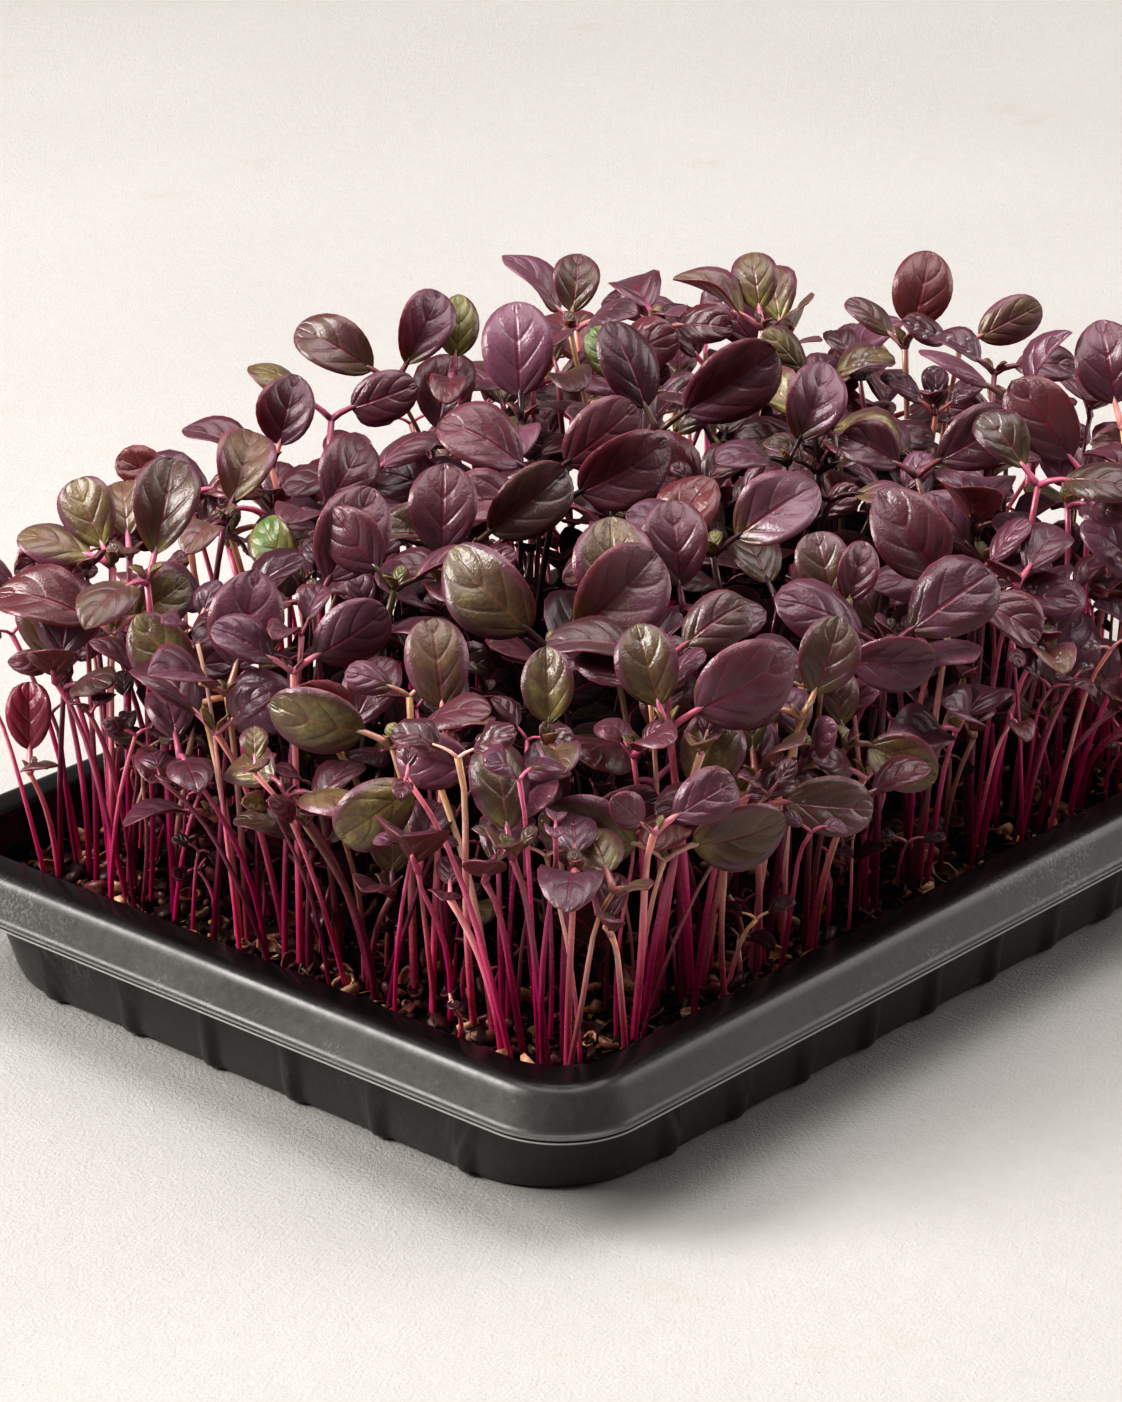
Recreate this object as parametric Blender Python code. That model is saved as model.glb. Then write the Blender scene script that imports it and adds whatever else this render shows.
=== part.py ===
"""A tray of purple basil microgreens: a thin black plastic tray, a bed of growing mix with seed husks,
and the seedlings, which rise two by two from plain holes in the bed.

The origin is the centre of the tray's underside, +X runs along the tray's long side and +Z is up.
Dimensions are in millimetres and are turned into metres where a mesh is made.
"""

import math
import random

import bmesh
import bpy
from mathutils import Euler, Vector
from mathutils.bvhtree import BVHTree

MM = 0.001

# The tray, as the outline of its lip and as rings that run round it
TRAY_LENGTH = 187.0
TRAY_WIDTH = 137.0
RIM_TOP = 22.0
CORNER_STEPS = 5
# (inset from the lip, height, corner radius), from the underside round the rim and down to the floor
TRAY_RINGS = (
    (11.6, 0.0, 15.8),
    (10.6, 0.9, 16.5),
    (7.9, 20.5, 10.3),
    (4.6, 20.8, 10.5),
    (1.9, 15.7, 12.2),
    (0.0, 15.4, 13.0),
    (0.0, 16.1, 13.0),
    (0.9, 16.4, 12.5),
    (2.6, 20.3, 11.4),
    (3.2, 21.4, 11.0),
    (4.5, RIM_TOP, 10.2),
    (8.4, RIM_TOP, 9.6),
    (9.2, 21.2, 9.2),
    (12.0, 3.0, 15.0),
    (14.0, 0.9, 14.0),
)
# The upright ribs of a wall: where the first stands, how many there are and how far apart
LONG_SIDE_RIBS = (-61.0, 9, 14.55)
SHORT_SIDE_RIBS = (-40.5, 6, 16.2)
# (height, how far the wall stands in from the lip there, how far the rib stands out of it)
RIB_LEVELS = ((0.5, 10.9, 1.2), (20.65, 7.9, 1.3))
# (place along the wall, how far out of it: a share of the rib's height, or millimetres inwards)
RIB_SECTION = ((-2.9, -0.9), (-1.5, 1.0), (1.5, 1.0), (2.9, -0.9))

# The bed of growing mix
BED_LEVEL = 13.5
BED_RINGS = ((14.6, 1.4, 13.5), (12.4, 3.2, 15.0), (10.9, BED_LEVEL, 12.0))
BED_CELLS = (9, 6)
BED_RELIEF = 0.6
HOLE_RADIUS = 3.0
HOLE_DEPTH = 6.3
HOLE_SIDES = 6
HUSK_COUNT = 30
HUSK_SIZE = (3.0, 2.0, 2.0)

# The seedlings. Headings are in degrees, counter-clockwise from VIEW_RIGHT as seen from above.
VIEW_RIGHT = -48.7
FOOT_DEPTHS = (6.0, 5.6)
PAIR_TURN = 2.9
STEM_SIDES = 3
STEM_RADII = (1.3, 1.1, 0.95, 0.75)
PAIR_STEP = 0.6
BLADE_THICKNESS = 0.7
BLADE_WIDTH_SHARE = 0.8
CROWN_HALF_WIDTH = 0.95
CROWN_THICKNESS = 1.3
# (share of the blade's length, share of its half width), from the petiole to the blunt tip
BLADE_STATIONS = ((0.0, 0.14), (0.25, 0.9), (0.68, 1.0), (0.98, 0.36))
SMALL_BLADE_STATIONS = ((0.3, 0.8), (0.95, 0.5))
SMALL_BLADE_LENGTH = 8.0
BLADE_ARCH = 0.09
CLEARANCE = 0.4
# The inside of the tray, as a rounded rectangle: its corners' centre and radius
INNER_CORNER = (72.0, 47.0)
INNER_RADIUS = 9.2
RIM_CLEAR_HEIGHT = 24.0
LOWEST_LEAF = 17.0
REACH = (92.5, 67.5)
TRIES = 160

# Random growth, all drawn from one seed
SEED = 5
CLUMPS = 52
SITE_GAP = 12.5
FOOT_HALF_X = 74.0
FOOT_HALF_Y = 50.0
SMALL_PAIR_CHANCE = 0.12

# Feet of the clumps that stand along the two near walls
NEAR_FEET = (
    (-72, 50), (-71, 40), (-70, 28), (-70, 14), (-71, 1), (-70, -11), (-70, -23), (-70, -35), (-68, -46),
    (-56, -48), (-44, -47), (-31, -48), (-18, -47), (-4, -48), (9, -46), (22, -47), (36, -47), (50, -46), (65, -47),
)

# Seedlings that show in the view: the crown, then one or two leaves as (heading, pitch, length, how far
# it faces the viewer). Where one leaf is listed, the leaf across from it is drawn at random.
LISTED = (
    ((-79, 48, 33), (90, 67, 10, 0.9)),
    ((-77, 46, 49), (113, 60, 13, 0.9)),
    ((-69, 31, 63), (71, 58, 15, 0.9)),
    ((-75, 34, 57), (16, 33, 10, 0.9), (172, 20, 14, 0.4)),
    ((-75, 11, 54), (64, 62, 14, 0.9)),
    ((-71, 20, 49), (152, 48, 12, 0.8), (338, 0, 12, 0.7)),
    ((-59, 11, 60), (42, 52, 15, 0.9)),
    ((-70, 3, 58), (4, 32, 12, 0.9)),
    ((-73, -3, 34), (170, 20, 9, 0.3)),
    ((-41, 2, 63), (86, 63, 13, 0.9)),
    ((-33, 4, 65), (17, 36, 14, 0.9)),
    ((-67, -23, 55), (104, 62, 12, 0.9)),
    ((-73, -18, 54), (174, 15, 14, 0.9)),
    ((-73, -27, 51), (207, -30, 12, 0.9)),
    ((-69, -33, 52), (177, 6, 11, 0.8)),
    ((-74, -19, 32), (90, 67, 9, 0.9)),
    ((-64, -39, 54), (88, 66, 11, 0.9)),
    ((-45, -23, 60), (159, 40, 16, 0.9), (21, 40, 15, 0.9)),
    ((-32, -25, 56), (97, 60, 15, 0.9)),
    ((-67, -45, 49), (8, 12, 12, 0.9), (128, 60, 11, 0.9)),
    ((-56, -53, 42), (173, 16, 14, 0.9), (6, 14, 13, 0.9)),
    ((-52, -49, 42), (60, 64, 12, 0.9)),
    ((-48, -49, 57), (120, 64, 12, 0.9), (13, 27, 16, 0.9)),
    ((-34, -51, 41), (358, -5, 12, 0.7), (101, 66, 10, 0.5)),
    ((-29, -53, 56), (42, 57, 12, 0.9), (180, 10, 10, 0.4)),
    ((-19, -50, 57), (2, 0, 12, 0.9)),
    ((-19, -52, 45), (350, -24, 11, 0.7), (103, 66, 9, 0.9)),
    ((-9, -45, 60), (115, 56, 10, 0.9), (55, 62, 9, 0.9)),
    ((10, -51, 59), (149, 51, 15, 0.7), (340, -30, 10, 0.3)),
    ((34, -51, 33), (60, 64, 13, 0.9), (175, 10, 8, 0.8)),
    ((-39, -38, 61), (178, 3, 13, 0.2), (18, 32, 11, 0.5)),
    ((-23, -28, 61), (103, 66, 12, 0.9)),
    ((-7, -20, 63), (14, 31, 14, 0.6)),
    ((-12, 6, 65), (11, 26, 15, 0.9)),
    ((-4, 15, 65), (18, 35, 14, 0.9), (168, 28, 14, 0.4)),
    ((20, 13, 67), (14, 31, 17, 0.9), (136, 58, 14, 0.3)),
    ((9, 31, 67), (96, 62, 15, 0.9)),
    ((24, -9, 66), (47, 60, 13, 0.9)),
    ((20, -20, 64), (355, -10, 12, 0.2)),
    ((36, -24, 65), (15, 31, 13, 0.8), (168, 26, 10, 0.5)),
    ((-46, 24, 58), (138, 43, 9, 0.9)),
    ((-37, 30, 64), (55, 40, 12, 0.9)),
    ((-50, 4, 65), (150, 40, 12, 0.9)),
    ((-44, 42, 63), (70, 45, 12, 0.9)),
    ((-62, 47, 60), (126, 50, 11, 0.9), (172, 14, 11, 0.3)),
    ((-24, 52, 64), (60, 63, 11, 0.6), (172, 18, 11, 0.2)),
    ((-8, 53, 67), (164, 34, 12, 0.1), (8, 18, 11, 0.8)),
    ((3, 52, 70), (167, 28, 13, 0.6), (42, 56, 12, 0.9)),
    ((10, 46, 71), (82, 58, 10, 0.9)),
    ((40, 47, 71), (157, 42, 13, 0.1)),
    ((33, 37, 72), (79, 56, 11, 0.9)),
    ((27, 22, 69), (155, 46, 10, 0.9)),
    ((57, 23, 72), (168, 24, 12, 0.1), (103, 56, 10, 0.9)),
    ((69, 4, 70), (60, 62, 12, 0.9), (150, 30, 9, 0.2)),
    ((74, -3, 70), (12, 25, 11, 0.7)),
    ((71, -12, 69), (0, -3, 10, 0.4)),
    ((70, -37, 66), (112, 64, 13, 0.9)),
    ((52, -44, 64), (152, 48, 14, 0.7)),
)


def clear_scene():
    for thing in list(bpy.data.objects):
        bpy.data.objects.remove(thing)


def material(name, colour, roughness):
    made = bpy.data.materials.new(name)
    made.use_nodes = True
    shader = made.node_tree.nodes["Principled BSDF"]
    shader.inputs["Base Color"].default_value = (*colour, 1.0)
    shader.inputs["Roughness"].default_value = roughness
    shader.inputs["Metallic"].default_value = 0.0
    return made


def object_from(bm, name, look):
    """A scene object, in metres, of a bmesh in millimetres."""
    bmesh.ops.scale(bm, vec=(MM, MM, MM), verts=bm.verts)
    mesh = bpy.data.meshes.new(name)
    bm.to_mesh(mesh)
    bm.free()
    mesh.materials.append(look)
    made = bpy.data.objects.new(name, mesh)
    bpy.context.scene.collection.objects.link(made)
    return made


def apply_boolean(base, others, operation, solver="EXACT"):
    """The base with the others joined to it or cut from it. The others are then removed."""
    group = bpy.data.collections.new(base.name + "_pieces")
    bpy.context.scene.collection.children.link(group)
    for other in others:
        group.objects.link(other)
        bpy.context.scene.collection.objects.unlink(other)
    step = base.modifiers.new("fuse", "BOOLEAN")
    step.operation = operation
    step.operand_type = "COLLECTION"
    step.collection = group
    step.solver = solver
    graph = bpy.context.evaluated_depsgraph_get()
    fused = bpy.data.meshes.new_from_object(base.evaluated_get(graph), depsgraph=graph)
    base.modifiers.clear()
    base.data = fused
    for other in others:
        bpy.data.objects.remove(other)
    bpy.data.collections.remove(group)
    return base


def rounded_outline(inset, height, radius):
    """Corner arcs of a rounded rectangle, counter-clockwise from the +X +Y corner."""
    half_x = TRAY_LENGTH / 2 - inset - radius
    half_y = TRAY_WIDTH / 2 - inset - radius
    points = []
    for corner, (sx, sy) in enumerate(((1, 1), (-1, 1), (-1, -1), (1, -1))):
        for step in range(CORNER_STEPS + 1):
            turn = math.radians(90 * corner + 90 * step / CORNER_STEPS)
            points.append(
                Vector((sx * half_x + radius * math.cos(turn), sy * half_y + radius * math.sin(turn), height))
            )
    return points


def lofted(rings):
    """A closed solid through rings of points, with flat faces over the first and the last."""
    bm = bmesh.new()
    loops = [[bm.verts.new(point) for point in points] for points in rings]
    for lower, upper in zip(loops, loops[1:]):
        for index, vert in enumerate(lower):
            bm.faces.new((lower[index - 1], vert, upper[index], upper[index - 1]))
    bm.faces.new(loops[0][::-1])
    bm.faces.new(loops[-1])
    bmesh.ops.recalc_face_normals(bm, faces=bm.faces)
    return bm


def wall_rib(position, on_long_side, side):
    """One upright rib on a wall: its section is swept down the wall's slope."""
    levels = []
    for height, inset, proud in RIB_LEVELS:
        half = (TRAY_WIDTH if on_long_side else TRAY_LENGTH) / 2 - inset
        level = []
        for along, out in RIB_SECTION:
            across = side * (half + (out * proud if out > 0 else out))
            level.append(
                Vector((position + along, across, height)) if on_long_side else Vector((across, position + along, height))
            )
        levels.append(level)
    return lofted(levels)


def tray(look):
    body = object_from(lofted([rounded_outline(*ring) for ring in TRAY_RINGS]), "tray", look)
    ribs = []
    for (first, count, gap), on_long_side in ((LONG_SIDE_RIBS, True), (SHORT_SIDE_RIBS, False)):
        for index in range(count):
            for side in (-1, 1):
                ribs.append(object_from(wall_rib(first + index * gap, on_long_side, side), "rib", look))
    return apply_boolean(body, ribs, "UNION")


def bed_height(x, y):
    """Gentle lumps in the surface of the growing mix."""
    waves = math.sin(0.19 * x + 1.3) * math.sin(0.23 * y + 0.4) + 0.6 * math.sin(0.41 * x - 0.37 * y)
    return BED_LEVEL + BED_RELIEF * waves / 1.6


def husk(rng, look):
    """A split seed husk: a small faceted grain that lies half in the mix."""
    x = rng.uniform(-FOOT_HALF_X, FOOT_HALF_X)
    y = rng.uniform(-FOOT_HALF_Y, FOOT_HALF_Y)
    bm = bmesh.new()
    bmesh.ops.create_icosphere(bm, subdivisions=1, radius=1.0)
    bmesh.ops.scale(bm, vec=Vector(HUSK_SIZE) / 2 * rng.uniform(0.9, 1.5), verts=bm.verts)
    turn = (rng.uniform(-0.3, 0.3), rng.uniform(-0.3, 0.3), rng.uniform(0, math.tau))
    bmesh.ops.rotate(bm, matrix=Euler(turn).to_matrix(), verts=bm.verts)
    bmesh.ops.translate(bm, vec=(x, y, bed_height(x, y)), verts=bm.verts)
    return (x, y), object_from(bm, "husk", look)


def growing_bed(holes, look):
    """The block of mix, lumpy on top, with a plain hole for each clump of stems."""
    bm = lofted([rounded_outline(*ring) for ring in BED_RINGS])
    bm.faces.ensure_lookup_table()
    top = max(bm.faces, key=lambda face: face.calc_center_median().z)
    geometry = [top, *top.edges, *top.verts]
    for axis, cells, length in ((0, BED_CELLS[0], TRAY_LENGTH), (1, BED_CELLS[1], TRAY_WIDTH)):
        span = length - 2 * BED_RINGS[-1][0]
        for cell in range(1, cells):
            cut = Vector((0, 0, 0))
            cut[axis] = span * (cell / cells - 0.5)
            normal = Vector((0, 0, 0))
            normal[axis] = 1.0
            split = bmesh.ops.bisect_plane(bm, geom=geometry, plane_co=cut, plane_no=normal)
            geometry = split["geom"]
    for vert in bm.verts:
        if vert.co.z > BED_LEVEL - 0.01:
            vert.co.z = bed_height(vert.co.x, vert.co.y)
    block = object_from(bm, "growing_mix", look)
    rng = random.Random(SEED + 7)
    husks = []
    while len(husks) < HUSK_COUNT:
        (x, y), grain = husk(rng, look)
        if min(math.hypot(x - hx, y - hy) for hx, hy in holes) > HOLE_RADIUS + 2.4:
            husks.append(grain)
        else:
            bpy.data.objects.remove(grain)
    apply_boolean(block, husks, "UNION")
    cutters = []
    for x, y in holes:
        bm = bmesh.new()
        bmesh.ops.create_cone(
            bm, cap_ends=True, segments=HOLE_SIDES, radius1=HOLE_RADIUS, radius2=HOLE_RADIUS, depth=2 * HOLE_DEPTH
        )
        bmesh.ops.translate(bm, vec=(x, y, BED_LEVEL), verts=bm.verts)
        cutters.append(object_from(bm, "hole", look))
    return apply_boolean(block, cutters, "DIFFERENCE")


def heading_vector(heading, pitch):
    """A unit vector at a heading in the view's terms and a pitch above the level, both in degrees."""
    turn = math.radians(heading + VIEW_RIGHT)
    rise = math.radians(pitch)
    return Vector((math.cos(rise) * math.cos(turn), math.cos(rise) * math.sin(turn), math.sin(rise)))


TOWARDS_VIEWER = heading_vector(270, 0)


def canopy_height(x, y):
    """How high crowns may reach: the stand rises away from the near corner and rounds off at its sides."""
    depth = -(x * TOWARDS_VIEWER.x + y * TOWARDS_VIEWER.y)
    edge = max(abs(x) / 78, abs(y) / 55)
    return 65.0 + 0.08 * depth - 4.0 * edge**4


def leaf(crown, heading, pitch, length, faces):
    """A leaf on its petiole: where it starts, its blade's two ends and the side that it shows."""
    along = heading_vector(heading, pitch)
    petiole = heading_vector(heading, 0.5 * pitch + 20) * (0.28 * length + 1.0)
    start = crown + petiole
    facing = Vector((0, 0, 1)) * (1 - faces) + TOWARDS_VIEWER * faces
    normal = facing - along * facing.dot(along)
    return {"crown": crown, "start": start, "tip": start + along * length, "normal": normal.normalized()}


def seedling(foot, turn, depth, crown, leaves):
    """A stem that leaves its hole upright and bends to its crown, with its leaves."""
    side = Vector((math.cos(turn), math.sin(turn), 0)) * PAIR_STEP
    root = Vector((foot[0], foot[1], BED_LEVEL - depth)) + side
    neck = Vector((root.x, root.y, BED_LEVEL + 2.0))
    middle = neck.lerp(crown, 0.5)
    middle.z += 0.1 * (crown - neck).length
    middle.x -= 0.18 * (crown.x - neck.x)
    middle.y -= 0.18 * (crown.y - neck.y)
    blades = [leaf(crown, *values) for values in leaves]
    pairs = list(zip(blades[0::2], blades[1::2]))
    return {"stem": (root, neck, middle, crown), "turn": turn, "pairs": pairs}


def stem_rings(plant, margin):
    rings = []
    points = plant["stem"]
    for index, point in enumerate(points):
        radius = STEM_RADII[index] + margin
        rings.append(
            [
                point + Vector((radius * math.cos(turn), radius * math.sin(turn), 0.0))
                for turn in (plant["turn"] + math.pi + math.tau * side / STEM_SIDES for side in range(STEM_SIDES))
            ]
        )
    return rings


def blade_sections(blade):
    """Points along the arched blade from its petiole to its tip, with half the width at each."""
    along = blade["tip"] - blade["start"]
    length = along.length
    stations = BLADE_STATIONS if length > SMALL_BLADE_LENGTH else SMALL_BLADE_STATIONS
    sections = []
    for share, width in stations:
        lift = BLADE_ARCH * length * 4 * share * (1 - share)
        point = blade["start"] + along * share + blade["normal"] * lift
        sections.append((point, width * 0.5 * BLADE_WIDTH_SHARE * length))
    return sections, along.normalized().cross(blade["normal"])


def pair_rings(pair, margin):
    """A pair of leaves as one strip: from one tip down its petiole, through the crown and out to the other tip."""
    first, first_across = blade_sections(pair[0])
    second, second_across = blade_sections(pair[1])
    middle = (second_across - first_across).normalized()
    sections = [(point, half, -first_across, BLADE_THICKNESS) for point, half in reversed(first)]
    sections.append((pair[0]["crown"], CROWN_HALF_WIDTH, middle, CROWN_THICKNESS))
    sections += [(point, half, second_across, BLADE_THICKNESS) for point, half in second]
    rings = []
    for index, (point, half, across, thickness) in enumerate(sections):
        before = sections[max(index - 1, 0)][0]
        after = sections[min(index + 1, len(sections) - 1)][0]
        tangent = (after - before).normalized()
        if index == 0:
            point = point - tangent * margin
        if index == len(sections) - 1:
            point = point + tangent * margin
        side = (across - tangent * across.dot(tangent)).normalized() * (half + margin)
        thick = side.cross(tangent).normalized() * (0.5 * thickness + margin)
        rings.append([point - side - thick, point + side - thick, point + side + thick, point - side + thick])
    return rings


def tree_of(solids):
    """A search tree over the faces of some lofted solids."""
    points = []
    faces = []
    for rings in solids:
        sides = len(rings[0])
        base = len(points)
        for ring in rings:
            points.extend(ring)
        for level in range(len(rings) - 1):
            for side in range(sides):
                a = base + level * sides + side
                b = base + level * sides + (side + 1) % sides
                faces.append((a, b, b + sides))
                faces.append((a, b + sides, a + sides))
    return BVHTree.FromPolygons(points, faces, all_triangles=True)


def inside_bounds(plant):
    """Whether the leaves stay off the bed and everything low stays inside the rim."""
    blade_points = [point for pair in plant["pairs"] for ring in pair_rings(pair, 0.0) for point in ring]
    stem_points = [point for ring in stem_rings(plant, 0.0) for point in ring]
    for point in blade_points + stem_points:
        beyond_x = max(abs(point.x) - INNER_CORNER[0], 0)
        beyond_y = max(abs(point.y) - INNER_CORNER[1], 0)
        if point.z < RIM_CLEAR_HEIGHT and math.hypot(beyond_x, beyond_y) > INNER_RADIUS:
            return False
        if abs(point.x) > REACH[0] or abs(point.y) > REACH[1]:
            return False
    return min(point.z for point in blade_points) > LOWEST_LEAF


def fits(plant, placed, clump):
    if not inside_bounds(plant):
        return False
    stem = tree_of([stem_rings(plant, CLEARANCE)])
    blades = tree_of([pair_rings(pair, CLEARANCE) for pair in plant["pairs"]])
    for other in placed:
        if blades.overlap(other["blade_tree"]) or blades.overlap(other["stem_tree"]):
            return False
        if stem.overlap(other["blade_tree"]):
            return False
        if other["clump"] != clump and stem.overlap(other["stem_tree"]):
            return False
    return True


def place(plant, placed, clump):
    plant["clump"] = clump
    plant["stem_tree"] = tree_of([stem_rings(plant, 0.0)])
    plant["blade_tree"] = tree_of([pair_rings(pair, 0.0) for pair in plant["pairs"]])
    placed.append(plant)


def random_growth(rng, foot, attempt):
    """A crown over the foot and a pair of opposite leaves, with a small pair above in some."""
    x, y = foot
    outward = Vector((x / FOOT_HALF_X, y / FOOT_HALF_Y, 0))
    lean = Vector((rng.uniform(-7, 7) + 5 * outward.x**3, rng.uniform(-7, 7) + 5 * outward.y**3, 0))
    crown = Vector((x, y, 0)) + lean
    drop = rng.uniform(3, 14 + 0.14 * attempt)
    crown.z = canopy_height(crown.x, crown.y) - drop
    heading = rng.uniform(0, 360)
    size = rng.uniform(12, 15.5) * (1 - 0.0022 * attempt)
    leaves = []
    for turn in (0, 180):
        pitch = rng.uniform(-5, 55)
        leaves.append((heading + turn + rng.uniform(-18, 18), pitch, size * rng.uniform(0.9, 1.05), rng.uniform(0, 0.6)))
    if rng.random() < SMALL_PAIR_CHANCE:
        small = rng.uniform(5, 7.5)
        for turn in (90, 270):
            leaves.append((heading + turn + rng.uniform(-15, 15), rng.uniform(35, 65), small, 0.2))
    return crown, leaves


def listed_growth(rng, given, attempt):
    """A seedling as listed, let go further from its place the more often it has failed to fit."""
    slack = 0.04 * attempt
    crown = Vector(given[0]) + Vector([rng.uniform(-slack, slack) for _ in range(3)])
    leaves = []
    for heading, pitch, length, faces in given[1:]:
        turn = rng.uniform(-3, 3) * slack
        leaves.append((heading + turn, pitch + rng.uniform(-3, 3) * slack, length * (1 - 0.02 * slack), faces))
    if len(leaves) == 1:
        heading, _, length, _ = leaves[0]
        across = heading + 180 + rng.uniform(-25, 25)
        leaves.append((across, rng.uniform(-10, 30), length * rng.uniform(0.7, 0.9), rng.uniform(0, 0.5)))
    return crown, leaves


def clump_sites(rng):
    """Feet on a loose grid over the bed, kept off the listed ones and off each other."""
    sites = list(NEAR_FEET)
    for _ in range(4000):
        if len(sites) == CLUMPS:
            break
        x = rng.uniform(-FOOT_HALF_X, FOOT_HALF_X)
        y = rng.uniform(-FOOT_HALF_Y, FOOT_HALF_Y)
        if min(math.hypot(x - sx, y - sy) for sx, sy in sites) > SITE_GAP:
            sites.append((x, y))
    return sites


def shared_out(sites):
    """The listed seedlings by clump: each goes to the nearest foot that still has room."""
    members = [[] for _ in sites]
    for given in LISTED:
        x, y, _ = given[0]
        free = [clump for clump in range(len(sites)) if len(members[clump]) < len(FOOT_DEPTHS)]
        members[min(free, key=lambda clump: math.hypot(sites[clump][0] - x, sites[clump][1] - y))].append(given)
    return members


def plan_growth():
    """All seedlings, two to a clump where they fit, none touching one of another clump."""
    rng = random.Random(SEED)
    sites = clump_sites(rng)
    members = shared_out(sites)
    first_turns = [rng.uniform(0, math.tau) for _ in sites]
    placed = []
    for from_list in (True, False):
        for clump, foot in enumerate(sites):
            for index, depth in enumerate(FOOT_DEPTHS):
                is_listed = index < len(members[clump])
                if is_listed != from_list:
                    continue
                turn = first_turns[clump] + index * PAIR_TURN
                for attempt in range(TRIES):
                    if is_listed:
                        crown, leaves = listed_growth(rng, members[clump][index], attempt)
                    else:
                        crown, leaves = random_growth(rng, foot, attempt)
                    plant = seedling(foot, turn, depth, crown, leaves)
                    if fits(plant, placed, clump):
                        place(plant, placed, clump)
                        break
    return sites, placed


def clump_of_seedlings(name, plants, look):
    """One closed body: the stems of a clump with every leaf fused on."""
    pieces = []
    for plant in plants:
        pieces.append(object_from(lofted(stem_rings(plant, 0.0)), "stem", look))
        for pair in plant["pairs"]:
            pieces.append(object_from(lofted(pair_rings(pair, 0.0)), "leaves", look))
    body = pieces.pop(0)
    body.name = name
    return apply_boolean(body, pieces, "UNION", solver="MANIFOLD")


def build():
    clear_scene()
    black_plastic = material("black_plastic", (0.012, 0.012, 0.013), 0.35)
    growing_mix = material("growing_mix", (0.035, 0.02, 0.013), 0.9)
    purple_leaf = material("purple_leaf", (0.11, 0.03, 0.06), 0.42)
    sites, plants = plan_growth()
    tray(black_plastic)
    growing_bed(sites, growing_mix)
    for clump in range(len(sites)):
        members = [plant for plant in plants if plant["clump"] == clump]
        if members:
            clump_of_seedlings(f"seedlings_{clump + 1:02d}", members, purple_leaf)
    print("seedlings", len(plants))


build()
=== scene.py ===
import math
import random

import bmesh
import bpy
from mathutils import Euler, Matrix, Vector, noise
from mathutils.bvhtree import BVHTree


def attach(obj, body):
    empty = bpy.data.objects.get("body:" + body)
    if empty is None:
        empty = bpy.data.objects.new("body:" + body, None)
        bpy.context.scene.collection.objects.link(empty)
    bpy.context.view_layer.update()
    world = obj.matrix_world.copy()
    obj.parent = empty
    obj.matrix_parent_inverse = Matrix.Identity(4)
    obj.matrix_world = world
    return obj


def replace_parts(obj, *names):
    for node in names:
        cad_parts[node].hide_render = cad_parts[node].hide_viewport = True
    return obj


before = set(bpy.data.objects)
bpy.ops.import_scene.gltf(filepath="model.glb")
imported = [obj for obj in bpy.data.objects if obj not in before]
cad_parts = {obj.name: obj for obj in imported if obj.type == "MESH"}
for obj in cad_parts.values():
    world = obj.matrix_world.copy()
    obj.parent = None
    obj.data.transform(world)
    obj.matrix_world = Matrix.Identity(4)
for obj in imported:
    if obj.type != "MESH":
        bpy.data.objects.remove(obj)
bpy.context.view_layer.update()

MM = 0.001

# The growth plan, in millimetres: where the seedlings of the plain model stand
BED_LEVEL = 13.5
BED_RELIEF = 0.6
# Headings are in degrees, counter-clockwise from VIEW_RIGHT as seen from above
VIEW_RIGHT = -48.7
FOOT_DEPTHS = (6.0, 5.6)
PAIR_TURN = 2.9
STEM_SIDES = 3
STEM_RADII = (1.3, 1.1, 0.95, 0.75)
PAIR_STEP = 0.6
BLADE_THICKNESS = 0.7
BLADE_WIDTH_SHARE = 0.8
CROWN_HALF_WIDTH = 0.95
CROWN_THICKNESS = 1.3
# (share of the blade's length, share of its half width), from the petiole to the blunt tip
BLADE_STATIONS = ((0.0, 0.14), (0.25, 0.9), (0.68, 1.0), (0.98, 0.36))
SMALL_BLADE_STATIONS = ((0.3, 0.8), (0.95, 0.5))
SMALL_BLADE_LENGTH = 8.0
BLADE_ARCH = 0.09
CLEARANCE = 0.4
# Crowns further apart than this belong to seedlings that can't touch
NEIGHBOUR_REACH = 46.0
# The inside of the tray, as a rounded rectangle: its corners' centre and radius
INNER_CORNER = (72.0, 47.0)
INNER_RADIUS = 9.2
RIM_CLEAR_HEIGHT = 24.0
LOWEST_LEAF = 17.0
REACH = (92.5, 67.5)
TRIES = 160
# The lumps of the bed: a wave along each side as (turn for each millimetre, shift), and one on the slant
BED_WAVE_X = (0.19, 1.3)
BED_WAVE_Y = (0.23, 0.4)
BED_SLANT_WAVE = (0.41, -0.37)
BED_SLANT_SHARE = 0.6
# How high the crowns reach: at the middle, more for each millimetre away from the viewer, less at the sides
CANOPY_TOP = 65.0
CANOPY_RISE = 0.08
CANOPY_DROOP = 4.0
CANOPY_EDGE = (78, 55)
PETIOLE_SHARE = 0.28
# How high over the bed a stem starts to bend
NECK_HEIGHT = 2.0
# How far a stem's middle lags behind the line to its crown and rises over it, as shares of its reach
STEM_LAG = 0.18
STEM_ARCH = 0.1

# Random growth, all drawn from one seed
SEED = 5
CLUMPS = 52
SITE_GAP = 12.5
FOOT_HALF_X = 74.0
FOOT_HALF_Y = 50.0
SMALL_PAIR_CHANCE = 0.12

# Feet of the clumps that stand along the two near walls
NEAR_FEET = (
    (-72, 50), (-71, 40), (-70, 28), (-70, 14), (-71, 1), (-70, -11), (-70, -23), (-70, -35), (-68, -46),
    (-56, -48), (-44, -47), (-31, -48), (-18, -47), (-4, -48), (9, -46), (22, -47), (36, -47), (50, -46),
    (65, -47),
)

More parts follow.
